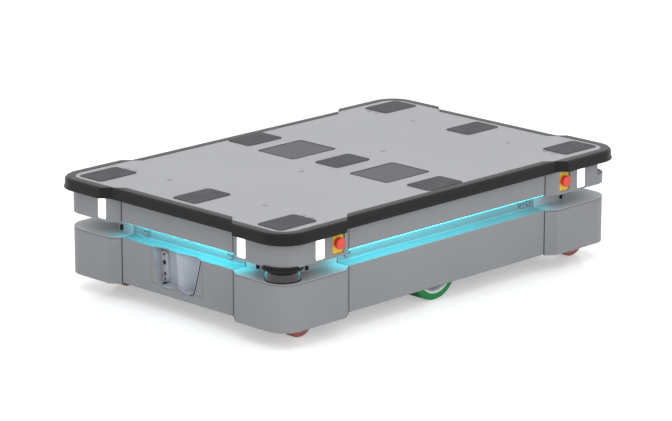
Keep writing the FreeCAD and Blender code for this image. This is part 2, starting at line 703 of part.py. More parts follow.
def make_corner_lids():
    """Lids of the lower corners: rim, skin, inner tongue, tabs and the upright wall behind."""
    lids = []
    rim_low = LOWER_TOP - LID_RIM
    cover_top = rim_low - LID_SHUT_GAP
    for name, signs in CORNERS.items():
        lid = cover_prism(0.0, rim_low, LOWER_TOP)
        lid = lid.cut(cover_prism(COVER_WALL * 2, rim_low - 1, LOWER_TOP - COVER_WALL))
        tongue = cover_prism(COVER_WALL, cover_top - LID_TONGUE, rim_low)
        tongue = tongue.cut(cover_prism(COVER_WALL * 2, cover_top - LID_TONGUE - 1, rim_low + 1))
        wall = wall_prism(0.0, LOWER_TOP - COVER_WALL, UPPER_BOTTOM_CORNER)
        lid = lid.fuse([tongue, wall] + lid_tabs(0.0, cover_top - 3.0, rim_low))
        lid = lid.cut(wall_prism(COVER_WALL, 0, HEIGHT)).common(corner_region(0, HEIGHT))
        lids.append(mirrored(lid.removeSplitter(), *signs))
    return Part.makeCompound(lids)


def sheet_panel(outer_out, profile, radii, seam, facing):
    """Bent sheet of constant profile between two seams; facing is +x, -x, +y or -y."""
    half = seam - SEAM_GAP / 2
    points = [(outer_out + out, z) for out, z in profile]
    if facing[1] == "x":
        panel = prism(points, radii, -half, half, "xz")
    else:
        panel = prism(points, radii, -half, half, "yz")
    if facing[0] == "-":
        panel = mirrored(panel, -1, 1) if facing[1] == "x" else mirrored(panel, 1, -1)
    return panel


def wall_depth(facing):
    return MIDDLE_X - WALL_X if facing[1] == "x" else MIDDLE_Y - WALL_Y


def make_upper_panel(facing):
    """C-shaped sheet panel with two latch tabs hanging against the wall."""
    t = COVER_WALL
    seam = SEAM_Y if facing[1] == "x" else SEAM_X
    outer = MIDDLE_X if facing[1] == "x" else MIDDLE_Y
    deep = wall_depth(facing)
    low = UPPER_BOTTOM_MIDDLE
    profile = [(-deep - t, low), (0, low), (0, BUMPER_BOTTOM), (-UPPER_FLANGE, BUMPER_BOTTOM),
               (-UPPER_FLANGE, BUMPER_BOTTOM - t), (-t, BUMPER_BOTTOM - t), (-t, low + t), (-deep - t, low + t)]
    panel = sheet_panel(outer, profile, [0, SHEET_BEND, SHEET_BEND, 0, 0, 0.5, 0.5, 0], seam, facing)
    place = TAB_Y if facing[1] == "x" else TAB_X
    tabs = []
    for sign in (1, -1):
        outline = rectangle(sign * place - TAB_WIDE / 2, sign * place + TAB_WIDE / 2, low - TAB_TALL, low)
        plane = "yz" if facing[1] == "x" else "xz"
        tabs.append(prism(outline, [6.0, 6.0, 0, 0], outer - deep, outer - deep + 2.0, plane))
    if facing[0] == "-":
        tabs = [mirrored(tab, -1, 1) if facing[1] == "x" else mirrored(tab, 1, -1) for tab in tabs]
    return panel.fuse(tabs).removeSplitter()


def make_lower_panel(facing):
    """Sheet panel: return lip, face, top flange and the upright wall behind, all from one sheet."""
    t = COVER_WALL
    seam = SEAM_Y if facing[1] == "x" else SEAM_X
    outer = MIDDLE_X if facing[1] == "x" else MIDDLE_Y
    deep = wall_depth(facing)
    low = LOWER_BOTTOM_MIDDLE
    profile = [(-LOWER_LIP, low), (0, low), (0, LOWER_TOP), (-deep, LOWER_TOP), (-deep, UPPER_BOTTOM_MIDDLE),
               (-deep - t, UPPER_BOTTOM_MIDDLE), (-deep - t, LOWER_TOP - t), (-t, LOWER_TOP - t),
               (-t, low + t), (-LOWER_LIP, low + t)]
    radii = [0, SHEET_BEND, SHEET_BEND, FOOT_BEND, 0, 0, FOOT_BEND + t, 0.5, 0.5, 0]
    panel = sheet_panel(outer, profile, radii, seam, facing)
    if facing == "+x":
        opening = prism(bay_outline(0.0), 1.0, MIDDLE_X - COVER_WALL - 4, MIDDLE_X + 1, "yz")
        panel = panel.cut([opening, bay_scallop(LOWER_TOP - COVER_WALL - 1, LOWER_TOP + 1)])
    return panel


def bay_outline(shrink):
    """Front view of the bay insert: a rectangle whose lower edge bulges under each lobe."""
    top = LOWER_TOP - COVER_WALL
    low = BAY_BOTTOM + shrink
    chin = BAY_CHIN + shrink
    half = [(BAY_CHIN_START + shrink, low), (BAY_CREASE_HALF, chin), (BAY_FLOOR_HALF - 4, chin),
            (BAY_CHIN_END - shrink, low), (BAY_HALF - shrink, low), (BAY_HALF - shrink, top)]
    return half + [(-y, z) for y, z in reversed(half)]


def bay_scallop(low, high):
    """Shallow double curve that the bay cuts out of the top flange."""
    back = MIDDLE_X - BAY_SCALLOP
    edge = BAY_MOUTH_HALF
    points = [(MIDDLE_X + 5, -edge), (MIDDLE_X - 1, -edge), (back, -edge + 25), (back, -BAY_SCALLOP_Y),
              (MIDDLE_X - 1, 0), (back, BAY_SCALLOP_Y), (back, edge - 25), (MIDDLE_X - 1, edge), (MIDDLE_X + 5, edge)]
    return prism(points, [0, 2, 20, 20, 30, 20, 20, 2, 0], low, high)


def bay_cavity():
    """Two lobes that run back from the mouth to a camera each, with a soft ridge between."""
    back = MIDDLE_X - BAY_DEEP
    edge = BAY_MOUTH_HALF + 4
    plans = []
    for level, lobe_y in ((BAY_FLOOR - 3, BAY_LOBE_LOW_Y), (LOWER_TOP, BAY_LOBE_TOP_Y)):
        plan = [(MIDDLE_X + 9, -edge), (back, -edge), (back, -lobe_y), (MIDDLE_X - 1, 0),
                (back, lobe_y), (back, edge), (MIDDLE_X + 9, edge)]
        plans.append(rounded_wire(plan, [0, 2, 16, 24, 16, 2, 0], "xy", level))
    lobes = Part.makeLoft(plans, True, True)
    top = LOWER_TOP + 10
    mouth = [(-edge, top), (-BAY_FLOOR_HALF, BAY_FLOOR), (-BAY_CREASE_HALF, BAY_FLOOR), (0, BAY_CREASE),
             (BAY_CREASE_HALF, BAY_FLOOR), (BAY_FLOOR_HALF, BAY_FLOOR), (edge, top)]
    half = BAY_BACK_HALF
    rear = [(-half, top), (-half, BAY_FLOOR + 3), (-BAY_CREASE_HALF, BAY_FLOOR + 3), (0, BAY_CREASE),
            (BAY_CREASE_HALF, BAY_FLOOR + 3), (half, BAY_FLOOR + 3), (half, top)]
    radii = [0, 15, 10, 6, 10, 15, 0]
    funnel = Part.makeLoft([rounded_wire(mouth, radii, "yz", MIDDLE_X + 1),
                            rounded_wire(rear, radii, "yz", back - 1)], True, True)
    return lobes.common(funnel)


def camera_outline(y, grow):
    half = CAMERA_WIDE / 2 + grow
    tall = CAMERA_TALL / 2 + grow
    return rectangle(y - half, y + half, CAMERA_Z - tall, CAMERA_Z + tall)


def make_camera_bay():
    """Moulded insert of the front panel that holds the two upright cameras."""
    block = prism(bay_outline(BAY_GAP), 1.0, MIDDLE_X - BAY_BLOCK_DEEP, MIDDLE_X, "yz")
    block = block.cut(bay_cavity())
    seat_x = MIDDLE_X - BAY_DEEP + CAMERA_OUT
    seats = [prism(camera_outline(s * CAMERA_Y, 0.0), CAMERA_WIDE / 2 - 0.05, seat_x - CAMERA_THICK,
                   seat_x, "yz") for s in (1, -1)]
    return block.cut(seats).removeSplitter()


def camera_face_x():
    return MIDDLE_X - BAY_DEEP + CAMERA_OUT


def make_cameras():
    cameras = []
    face = camera_face_x()
    for side in SIDES.values():
        body = prism(camera_outline(side * CAMERA_Y, 0.0), CAMERA_WIDE / 2 - 0.05, face - CAMERA_THICK, face, "yz")
        body = round_edges(body, 2.0, lambda e: e.CenterOfMass.x > face - 0.01)
        seats = [cylinder(radius, (face - LENS_THICK, side * CAMERA_Y, CAMERA_Z + up), (1, 0, 0), 5)
                 for up, radius in LENS_PLACES]
        cameras.append(body.cut(seats))
    return Part.makeCompound(cameras)


def make_lenses():
    face = camera_face_x()
    return Part.makeCompound([cylinder(radius, (face - LENS_THICK, side * CAMERA_Y, CAMERA_Z + up), (1, 0, 0),
                                       LENS_THICK - 0.2)
                              for side in SIDES.values() for up, radius in LENS_PLACES])


def make_light_strips():
    """Light strips under the upper panels, shining down onto the lower body."""
    low = UPPER_BOTTOM_MIDDLE - STRIP_TALL
    strips = []
    for sign in (1, -1):
        x = WALL_X + STRIP_OFF_WALL
        half = SEAM_Y - STRIP_END_GAP
        strip = prism(rectangle(x, x + STRIP_WIDE, low, UPPER_BOTTOM_MIDDLE), [1.5, 1.5, 0, 0], -half, half, "xz")
        strips.append(mirrored(strip, sign, 1))
        y = WALL_Y + STRIP_OFF_WALL
        half = SEAM_X - STRIP_END_GAP
        strip = prism(rectangle(y, y + STRIP_WIDE, low, UPPER_BOTTOM_MIDDLE), [1.5, 1.5, 0, 0], -half, half, "yz")
        strips.append(mirrored(strip, 1, sign))
    return Part.makeCompound(strips)


def make_end_caps():
    """Rubber stops on the wall beside each rounded corner."""
    caps = []
    low = LOWER_TOP + 4.0
    for signs in CORNERS.values():
        on_front = box(WALL_X, WALL_X + END_CAP, WALL_END_Y - END_CAP - WALL_ROUND, WALL_END_Y - WALL_ROUND,
                       low, low + END_CAP_TALL)
        on_side = box(WALL_END_X - END_CAP - WALL_ROUND, WALL_END_X - WALL_ROUND, WALL_Y, WALL_Y + END_CAP,
                      low, low + END_CAP_TALL)
        caps += [mirrored(on_front, *signs), mirrored(on_side, *signs)]
    return Part.makeCompound(caps)


def make_scanners():
    """Scanner housings that hang from the frame, with the round foot below the window."""
    scanners = []
    for name in SCANNER_CORNERS:
        at = (SCANNER_X, SCANNER_Y)
        half = SCANNER_BODY_HALF
        body = prism(rectangle(at[0] - half, at[0] + half, at[1] - half, at[1] + half), [14.0, 14.0, 42.0, 14.0],
                     SCANNER_BODY_Z, SCANNER_BODY_TOP)
        neck = cylinder(SCANNER_NECK_RADIUS, (*at, SCANNER_TOP_Z), (0, 0, 1), SCANNER_BODY_Z - SCANNER_TOP_Z)
        core = cylinder(SCANNER_TOP_RADIUS - 8, (*at, SCANNER_FOOT_Z), (0, 0, 1), SCANNER_TOP_Z - SCANNER_FOOT_Z)
        foot = cylinder(SCANNER_FOOT_RADIUS, (*at, SCANNER_FOOT_Z), (0, 0, 1), SCANNER_FOOT_TALL)
        scanners.append(mirrored(fused([body, neck, core, foot]), *CORNERS[name]))
    return Part.makeCompound(scanners)


def make_scanner_windows():
    """Dark tapered windows, each a thin turned shell."""
    windows = []
    low = SCANNER_FOOT_Z + SCANNER_FOOT_TALL
    for name in SCANNER_CORNERS:
        profile = [(SCANNER_FOOT_RADIUS, low), (SCANNER_TOP_RADIUS, SCANNER_TOP_Z),
                   (SCANNER_TOP_RADIUS - WINDOW_WALL, SCANNER_TOP_Z), (SCANNER_FOOT_RADIUS - WINDOW_WALL, low)]
        window = turned([(SCANNER_X + r, SCANNER_Y, z) for r, z in profile], (SCANNER_X, SCANNER_Y, 0), (0, 0, 1))
        windows.append(mirrored(window, *CORNERS[name]))
    return Part.makeCompound(windows)


def rail(side):
    """Channel that is open towards the middle and carries beams, pivot and tray."""
    w = RAIL_WALL
    bar = box(-RAIL_END_X, RAIL_END_X, RAIL_INNER_Y, RAIL_OUTER_Y, RAIL_BOTTOM, RAIL_TOP)
    hollow = box(-RAIL_END_X - 1, RAIL_END_X + 1, RAIL_INNER_Y - 1, RAIL_OUTER_Y - w, RAIL_BOTTOM + w, RAIL_TOP - w)
    return mirrored(bar.cut(hollow), 1, side)


def cross_bar(x, wide, reach, low, high):
    return box(x - wide / 2, x + wide / 2, -reach, reach, low, high)


def stem_bore(side, low, high):
    return cylinder(STEM_RADIUS + SHAFT_GAP, (-CASTER_X, side * CASTER_Y, low), (0, 0, 1), high - low)


def make_frame():
    """Welded chassis, each member a solid of its own that meets its neighbours face to face."""
    members = []
    inside = RAIL_OUTER_Y - RAIL_WALL
    for x in (END_MEMBER_X, -END_MEMBER_X, DRIVE_X):
        members.append(cross_bar(x, MEMBER_WIDE, inside, RAIL_BOTTOM + RAIL_WALL, RAIL_TOP - RAIL_WALL))
    reach = MIDDLE_Y - COVER_WALL
    for x in (MIDDLE_BEAM_X, BACK_BEAM_X):
        members.append(cross_bar(x, BEAM_WIDE, reach, RAIL_TOP, BEAM_TOP))
    rear_beam = cross_bar(-CASTER_X, BEAM_WIDE, COVER_Y - COVER_WALL, RAIL_TOP, BEAM_TOP)
    members.append(rear_beam.cut([stem_bore(side, RAIL_TOP - 1, BEAM_TOP + 1) for side in SIDES.values()]))
    reach = COVER_Y - 2 * COVER_WALL
    members.append(cross_bar(FRONT_BEAM_X, BEAM_WIDE, reach, OUTRIGGER_Z, OUTRIGGER_Z + BEAM_TALL))
    for side in SIDES.values():
        members += frame_side(side)
    members += [scanner_plate(name) for name in SCANNER_CORNERS]
    return Part.makeCompound(members)


def frame_side(side):
    """Members of one side: rail, end blocks, posts, top rail, caster plate and bogie pivot."""
    half = BEAM_WIDE / 2
    p = POST_SIDE / 2
    top_rail_z = PLATE_BOTTOM - TOP_RAIL_TALL
    left = [box(RAIL_END_X, MIDDLE_X - COVER_WALL, RAIL_INNER_Y, RAIL_OUTER_Y, RAIL_TOP - END_BLOCK_TALL, RAIL_TOP)]
    left.append(mirrored(left[0], -1, 1))
    left.append(box(FRONT_BEAM_X - half, FRONT_BEAM_X + half, RAIL_INNER_Y, RAIL_OUTER_Y, RAIL_TOP, OUTRIGGER_Z))
    post_feet = ((FRONT_BEAM_X, OUTRIGGER_Z + BEAM_TALL), (MIDDLE_BEAM_X, BEAM_TOP),
                 (BACK_BEAM_X, BEAM_TOP), (-CASTER_X, BEAM_TOP))
    for x, foot in post_feet:
        left.append(box(x - p, x + p, POST_Y - p, POST_Y + p, foot, top_rail_z))
    left.append(box(-CASTER_X - p, FRONT_BEAM_X + p, POST_Y - p, POST_Y + p, top_rail_z, PLATE_BOTTOM))
    return [rail(side), rear_caster_plate(side), bogie_pivot(side)] + [mirrored(member, 1, side) for member in left]


def rear_caster_plate(side):
    h = CASTER_PLATE_HALF
    y = side * CASTER_Y
    outline = rectangle(-CASTER_X - h, -CASTER_X + h, y - h, y + h)
    plate = prism(outline, 8.0, CASTER_PLATE_Z, RAIL_TOP)
    return plate.cut(stem_bore(side, CASTER_PLATE_Z - 1, RAIL_TOP + 1))


def bogie_pivot(side):
    """Boss on the rail with the pivot pin on its end."""
    boss_long = ARM_INNER_Y - ARM_SIDE_GAP - RAIL_OUTER_Y
    boss = cylinder(PIVOT_BOSS_RADIUS, (PIVOT_X, RAIL_OUTER_Y, PIVOT_Z), (0, 1, 0), boss_long)
    pin = cylinder(PIVOT_RADIUS, (PIVOT_X, RAIL_OUTER_Y, PIVOT_Z), (0, 1, 0), boss_long + ARM_THICK + 8)
    return mirrored(boss.fuse(pin), 1, side)


def scanner_plate(name):
    """Plate that carries a scanner, welded round the outer corner of the nearest post."""
    p = POST_SIDE / 2
    post_x = FRONT_BEAM_X if name == "front_left" else CASTER_X
    low_y = POST_Y - p
    plate = prism([(post_x + p, low_y), (SCANNER_X - 10, low_y), (SCANNER_X + 38, SCANNER_Y - 30),
                   (SCANNER_X + 38, SCANNER_Y + 38), (SCANNER_X - 40, SCANNER_Y + 38), (post_x - p, POST_Y + p + 24),
                   (post_x - p, POST_Y + p), (post_x + p, POST_Y + p)],
                  [0, 20.0, 10.0, 40.0, 10.0, 6.0, 0, 0], SCANNER_BODY_TOP, SCANNER_BODY_TOP + SCANNER_PLATE)
    return mirrored(plate, *CORNERS[name])


def make_tray():
    """Folded pan under the rails that carries the battery and the electronics."""
    t = TRAY_WALL
    y = RAIL_OUTER_Y
    end = RAIL_END_X + t
    outer = box(-end, end, -y - t, y + t, TRAY_BOTTOM, TRAY_FLANGE_TOP)
    inner = box(-end + t, end - t, -y, y, TRAY_TOP, TRAY_FLANGE_TOP + 1)
    tray = outer.cut(inner)
    slots = []
    for x in range(-500, 501, 200):
        for y_slot in (-70, 70):
            slots.append(prism(rectangle(x - 30, x + 30, y_slot - 4, y_slot + 4), 3.9, TRAY_BOTTOM - 1, TRAY_TOP + 1))
    return tray.cut(slots)


def make_wells():
    """Sheet wells under the hatches, each with its row of connectors on the floor."""
    wells = []
    for side in SIDES.values():
        top = PLATE_BOTTOM
        low = top - WELL_DEEP
        shell = hatch_box(side, -HATCH_LEDGE + WELL_WALL, low, top)
        shell = shell.cut(hatch_box(side, -HATCH_LEDGE, low + WELL_WALL, top + 1))
        sockets = []
        y = side * HATCH_CENTRE_Y
        for x in (-44, 0, 44):
            ring = cylinder(13.0, (x, y + 24, low + WELL_WALL), (0, 0, 1), 14)
            sockets.append(ring.cut(cylinder(10.0, (x, y + 24, low + WELL_WALL + 4), (0, 0, 1), 14)))
        for x in (-36, 12):
            port = box(x, x + 24, y - 40, y - 18, low + WELL_WALL, low + WELL_WALL + 12)
            sockets.append(port.cut(box(x + 3, x + 21, y - 37, y - 21, low + WELL_WALL + 4, low + 40)))
        wells.append(fused([shell] + sockets))
    return Part.makeCompound(wells)


def make_hatch_cover(side):
    """Flat lid with clipped corners."""
    half_x = HATCH_X / 2 - HATCH_GAP
    half_y = HATCH_Y / 2 - HATCH_GAP
    c = HATCH_CLIP
    y = side * HATCH_CENTRE_Y
    outline = [(half_x, -half_y + c), (half_x, half_y - c), (half_x - c, half_y), (-half_x + c, half_y),
               (-half_x, half_y - c), (-half_x, -half_y + c), (-half_x + c, -half_y), (half_x - c, -half_y)]
    return prism([(x, y + b) for x, b in outline], 1.0, PLATE_TOP - HATCH_THICK, PLATE_TOP)


def arm_outline():
    """Side view of a bogie arm: wheel boss, pivot boss and the web that rises over the caster."""
    web_low = CASTER_PLATE_Z
    web_high = web_low + ARM_WEB_TALL
    end_x = CASTER_X + CASTER_PLATE_HALF
    drive_z = DRIVE_RADIUS
    return [(DRIVE_X - 48, drive_z - 40), (DRIVE_X + 30, drive_z - 46), (PIVOT_X + 10, PIVOT_Z - 34),
            (ARM_WEB_START_X - 40, web_low - 40), (ARM_WEB_START_X, web_low), (end_x, web_low),
            (end_x, web_high), (ARM_WEB_START_X - 20, web_high), (PIVOT_X + 60, ARM_LOW_TOP),
            (DRIVE_X + 20, ARM_LOW_TOP), (DRIVE_X - 48, drive_z + 34)]


def make_bogie_arm(side):
    """Cast arm: side plate with bosses, lightening pockets and the caster plate."""
    points = arm_outline()
    plate = prism(points, [30, 30, 20, 20, 6, 4, 4, 20, 30, 20, 24], ARM_INNER_Y, ARM_OUTER_Y, "xz")
    h = CASTER_PLATE_HALF
    caster = prism(rectangle(CASTER_X - h, CASTER_X + h, ARM_INNER_Y, CASTER_Y + h), [0, 0, 8, 8],
                   CASTER_PLATE_Z, CASTER_PLATE_Z + CASTER_PLATE_THICK)
    rib_top = CASTER_PLATE_Z + ARM_WEB_TALL
    ribs = [prism([(ARM_OUTER_Y - 1, CASTER_PLATE_Z + 1), (CASTER_Y - 14, CASTER_PLATE_Z + 1),
                   (ARM_OUTER_Y - 1, rib_top)], 0.0, x - 3, x + 3, "yz")
            for x in (CASTER_X - 32, CASTER_X + 32)]
    arm = fused([plate, caster] + ribs)
    pocket_low = ARM_INNER_Y + 6
    pockets = [
        prism([(PIVOT_X - 108, 72), (PIVOT_X - 44, 80), (PIVOT_X - 44, 122), (PIVOT_X - 108, 122)], 8.0,
              pocket_low, ARM_OUTER_Y + 1, "xz"),
        prism([(PIVOT_X + 42, 90), (ARM_WEB_START_X - 44, 104), (ARM_WEB_START_X - 30, 130), (PIVOT_X + 60, 124)], 8.0,
              pocket_low, ARM_OUTER_Y + 1, "xz"),
    ]
    bores = [cylinder(PIVOT_RADIUS + SHAFT_GAP, (PIVOT_X, ARM_INNER_Y - 1, PIVOT_Z), (0, 1, 0), ARM_THICK + 2),
             cylinder(SHAFT_RADIUS + SHAFT_GAP, (DRIVE_X, ARM_INNER_Y - 1, DRIVE_RADIUS), (0, 1, 0), ARM_THICK + 2),
             cylinder(STEM_RADIUS + SHAFT_GAP, (CASTER_X, CASTER_Y, CASTER_PLATE_Z - 1), (0, 0, 1), ARM_WEB_TALL + 2)]
    return mirrored(arm.cut(pockets + bores), 1, side)


def make_gear_motor(side):
    """Gearbox on the arm with the round motor behind it."""
    h = GEARBOX_HALF
    z = DRIVE_RADIUS
    gearbox = prism(rectangle(DRIVE_X - h, DRIVE_X + h, z - h, z + h), 12.0, ARM_INNER_Y - GEARBOX_LONG, ARM_INNER_Y,
                    "xz")
    motor_long = MOTOR_LONG - GEARBOX_LONG
    start_y = ARM_INNER_Y - MOTOR_LONG
    motor = cylinder(MOTOR_RADIUS, (DRIVE_X, start_y, z), (0, 1, 0), motor_long)
    motor = round_edges(motor, 4.0, lambda e: e.CenterOfMass.y < start_y + 0.01 and e.Length > 60)
    bore = cylinder(SHAFT_RADIUS + SHAFT_GAP, (DRIVE_X, ARM_INNER_Y - GEARBOX_LONG + 5, z), (0, 1, 0), GEARBOX_LONG)
    return mirrored(gearbox.fuse(motor).removeSplitter().cut(bore), 1, side)


def make_drive_tyre(side):
    """Tyre with rounded shoulders."""
    r = TYRE_ROUND
    y0 = DRIVE_INNER_Y
    y1 = DRIVE_OUTER_Y
    tyre = cylinder(DRIVE_RADIUS, (DRIVE_X, y0, DRIVE_RADIUS), (0, 1, 0), y1 - y0)
    tyre = round_edges(tyre, r, lambda e: e.Length > 300)
    tyre = tyre.cut(cylinder(DRIVE_RIM_RADIUS, (DRIVE_X, y0 - 1, DRIVE_RADIUS), (0, 1, 0), y1 - y0 + 2))
    return mirrored(tyre, 1, side)


def make_drive_hub(side):
    """Rim and dished disc with bolt holes, on the gearbox's output shaft."""
    z = DRIVE_RADIUS
    y0 = DRIVE_INNER_Y
    y1 = DRIVE_OUTER_Y
    shaft_end = ARM_INNER_Y - GEARBOX_LONG + 8
    profile = [(0, shaft_end), (SHAFT_RADIUS, shaft_end), (SHAFT_RADIUS, y0 + 2), (30, y0 + 2), (30, y1 - 30),
               (DRIVE_RIM_RADIUS - 8, y1 - 24), (DRIVE_RIM_RADIUS - 8, y0), (DRIVE_RIM_RADIUS, y0),
               (DRIVE_RIM_RADIUS, y1), (DRIVE_RIM_RADIUS - 5, y1), (DRIVE_RIM_RADIUS - 8, y1 - 5),
               (38, y1 - 14), (24, y1 - 14), (20, y1 - 8), (0, y1 - 8)]
    hub = turned([(DRIVE_X + r, y, z) for r, y in profile], (DRIVE_X, 0, z), (0, 1, 0))
    holes = []
    for i in range(6):
        turn = math.radians(60 * i)
        x = DRIVE_X + 31 * math.cos(turn)
        holes.append(cylinder(4.0, (x, y1 - 20, z + 31 * math.sin(turn)), (0, 1, 0), 30))
    return mirrored(hub.cut(holes), 1, side)


def make_caster_fork(name):
    """Swivel fork: stem, bearing head, crown, two legs and the axle."""
    x = CASTER_X
    y = CASTER_Y
    head_top = CASTER_PLATE_Z - SEAT_GAP
    crown_low = 2 * CASTER_RADIUS + FORK_WHEEL_GAP
    crown_high = crown_low + FORK_CROWN_THICK
    sign_x = CORNERS[name][0]
    axle_x = x - sign_x * CASTER_TRAIL
    leg_in = CASTER_WIDE / 2 + FORK_GAP
    leg_out = leg_in + FORK_LEG
    stem_top = CASTER_PLATE_Z + CASTER_PLATE_THICK + 4
    stem = cylinder(STEM_RADIUS, (x, y, crown_high - 1), (0, 0, 1), stem_top - crown_high + 1)
    profile = [(0, crown_high - 1), (FORK_HEAD_RADIUS, crown_high - 1), (FORK_HEAD_RADIUS, crown_high + 6),
               (FORK_HEAD_RADIUS - 7, head_top), (0, head_top)]
    head = turned([(x + r, y, z) for r, z in profile], (x, y, 0), (0, 0, 1))
    crown = prism(rectangle(x - 30, x + 30, y - leg_out, y + leg_out), 5.0, crown_low, crown_high)
    lean = -sign_x
    outline = [(x + lean * -24, crown_high), (x + lean * 28, crown_high), (axle_x + lean * 13, CASTER_RADIUS + 4),
               (axle_x + lean * 6, CASTER_RADIUS - 13), (axle_x - lean * 10, CASTER_RADIUS - 11),
               (axle_x - lean * 16, CASTER_RADIUS + 6)]
    radii = [0, 0, 10, 8, 8, 10]
    legs = [prism(outline, radii, y + leg_in, y + leg_out, "xz"), prism(outline, radii, y - leg_out, y - leg_in, "xz")]
    axle = cylinder(CASTER_BORE, (axle_x, y - leg_out - 2, CASTER_RADIUS), (0, 1, 0), 2 * leg_out + 4)
    fork = fused([stem, head, crown] + legs + [axle])
    return mirrored(fork, *CORNERS[name])


def caster_axle_x(name):
    """Every caster trails towards the rear, as when the robot drives forwards."""
    sign_x = CORNERS[name][0]
    return CASTER_X - sign_x * CASTER_TRAIL


def make_caster_wheel(name):
    """Tyre and core as two solids on one axle."""
    x = caster_axle_x(name)
    z = CASTER_RADIUS
    y0 = CASTER_Y - CASTER_WIDE / 2
    tyre_inner = CASTER_RADIUS - 14
    tyre = cylinder(CASTER_RADIUS, (x, y0, z), (0, 1, 0), CASTER_WIDE)
    tyre = round_edges(tyre, TYRE_ROUND, lambda e: e.Length > 200)
    tyre = tyre.cut(cylinder(tyre_inner, (x, y0 - 1, z), (0, 1, 0), CASTER_WIDE + 2))
    half = CASTER_WIDE / 2
    profile = [(CASTER_BORE + SHAFT_GAP, -half), (14, -half), (16, -half + 6), (tyre_inner - 5, -half + 6),
               (tyre_inner - 3, -half + 1), (tyre_inner, -half + 1), (tyre_inner, half - 1), (tyre_inner - 3, half - 1),
               (tyre_inner - 5, half - 6), (16, half - 6), (14, half), (CASTER_BORE + SHAFT_GAP, half)]
    core = turned([(x + r, CASTER_Y + y, z) for r, y in profile], (x, 0, z), (0, 1, 0))
    return mirrored(Part.makeCompound([tyre, core]), *CORNERS[name])


def make_battery():
    """Battery box with a carrying recess and a plug socket, lying in the tray."""
    y = RAIL_INNER_Y - BATTERY_SIDE_GAP
    case = box(BATTERY_X0, BATTERY_X1, -y, y, TRAY_TOP, TRAY_TOP + BATTERY_TALL)
    case = round_edges(case, 8.0, lambda e: abs(e.Length - BATTERY_TALL) < 0.01)
    top = TRAY_TOP + BATTERY_TALL
    grip = prism(rectangle(BATTERY_X0 + 40, BATTERY_X0 + 160, -22, 22), 10.0, top - 14, top + 1)
    socket = box(BATTERY_X1 - 60, BATTERY_X1 - 20, -50, 50, top, top + 4)
    return case.fuse(socket).cut(grip).removeSplitter()


def finned_box(x0, x1):
    """Electronics housing with cooling fins on top."""
    y = RAIL_INNER_Y - BATTERY_SIDE_GAP
    low = TRAY_TOP
    body = box(x0, x1, -y, y, low, low + COMPUTER_TALL - FIN_TALL)
    fins = []
    count = int((2 * y - FIN_THICK) // FIN_PITCH) + 1
    start = -(count - 1) * FIN_PITCH / 2
    for i in range(count):
        fin_y = start + i * FIN_PITCH
        fins.append(box(x0 + 12, x1 - 12, fin_y - FIN_THICK / 2, fin_y + FIN_THICK / 2, low, low + COMPUTER_TALL))
    return fused([body] + fins)


def main():
    os.makedirs("parts", exist_ok=True)
    save("chassis_frame", make_frame())
    save("belly_tray", make_tray())
    save("battery_pack", make_battery())
    housings = [finned_box(COMPUTER_X0, COMPUTER_X1), finned_box(DRIVES_X0, DRIVES_X1)]
    save("control_electronics", Part.makeCompound(housings))
    save("top_plate", make_top_plate())
    save("anti_slip_pads", make_pads())
    save("bumper", make_bumper())
    save("interface_wells", make_wells())
    for side, sign in SIDES.items():
        save("hatch_cover_" + side, make_hatch_cover(sign))
        save("bogie_arm_" + side, make_bogie_arm(sign))
        save("gear_motor_" + side, make_gear_motor(sign))
        save("drive_tyre_" + side, make_drive_tyre(sign))
        save("drive_hub_" + side, make_drive_hub(sign))
    for name in CORNERS:
        save("upper_corner_cover_" + name, make_upper_corner_cover(name))
        save("lower_corner_cover_" + name, make_lower_corner_cover(name))
        save("emergency_stop_" + name, make_stop_head(name))
        save("caster_fork_" + name, make_caster_fork(name))
        save("caster_wheel_" + name, make_caster_wheel(name))
    save("lower_corner_lids", make_corner_lids())
    for name, facing in {"front": "+x", "rear": "-x", "left": "+y", "right": "-y"}.items():
        save("upper_panel_" + name, make_upper_panel(facing))
        save("lower_panel_" + name, make_lower_panel(facing))
    save("camera_bay", make_camera_bay())
    save("depth_cameras", make_cameras())
    save("camera_lenses", make_lenses())
    save("status_light_strips", make_light_strips())
    save("wall_end_stops", make_end_caps())
    save("signal_lights", make_signal_lights())
    save("safety_scanners", make_scanners())
    save("scanner_windows", make_scanner_windows())
    save("stop_switch_plates", make_stop_plates())
    save("control_panel", make_control_panel())
    save("power_button", make_button(0))
    save("resume_button", make_button(1))
    save("key_switch", make_key_switch())


main()
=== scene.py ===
"""Dressed model of a low, flat mobile robot: finishes, bumper mouldings, small pieces, floor, lights and camera."""

import logging
import math
from dataclasses import dataclass
from enum import Enum
from functools import cached_property
from typing import Any, Callable, Iterable, Iterator, Sequence

import bmesh
import bpy
from mathutils import Matrix, Vector


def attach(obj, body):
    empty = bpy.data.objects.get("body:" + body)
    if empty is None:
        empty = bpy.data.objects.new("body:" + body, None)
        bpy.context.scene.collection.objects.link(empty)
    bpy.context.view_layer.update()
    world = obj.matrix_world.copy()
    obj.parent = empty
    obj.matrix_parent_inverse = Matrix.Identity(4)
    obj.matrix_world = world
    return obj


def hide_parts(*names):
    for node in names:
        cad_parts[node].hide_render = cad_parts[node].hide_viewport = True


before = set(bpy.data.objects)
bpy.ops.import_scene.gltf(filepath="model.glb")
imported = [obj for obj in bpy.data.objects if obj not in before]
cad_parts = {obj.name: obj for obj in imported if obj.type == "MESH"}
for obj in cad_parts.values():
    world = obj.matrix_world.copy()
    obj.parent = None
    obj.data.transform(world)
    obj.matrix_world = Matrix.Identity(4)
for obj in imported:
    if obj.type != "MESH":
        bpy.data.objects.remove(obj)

LOG = logging.getLogger("mobile_robot")
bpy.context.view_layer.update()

Colour = tuple[float, float, float]
Point = tuple[float, float, float]
Pair = tuple[float, float]
Outline = Sequence[Pair]
Fill = Callable[[bmesh.types.BMesh], None]
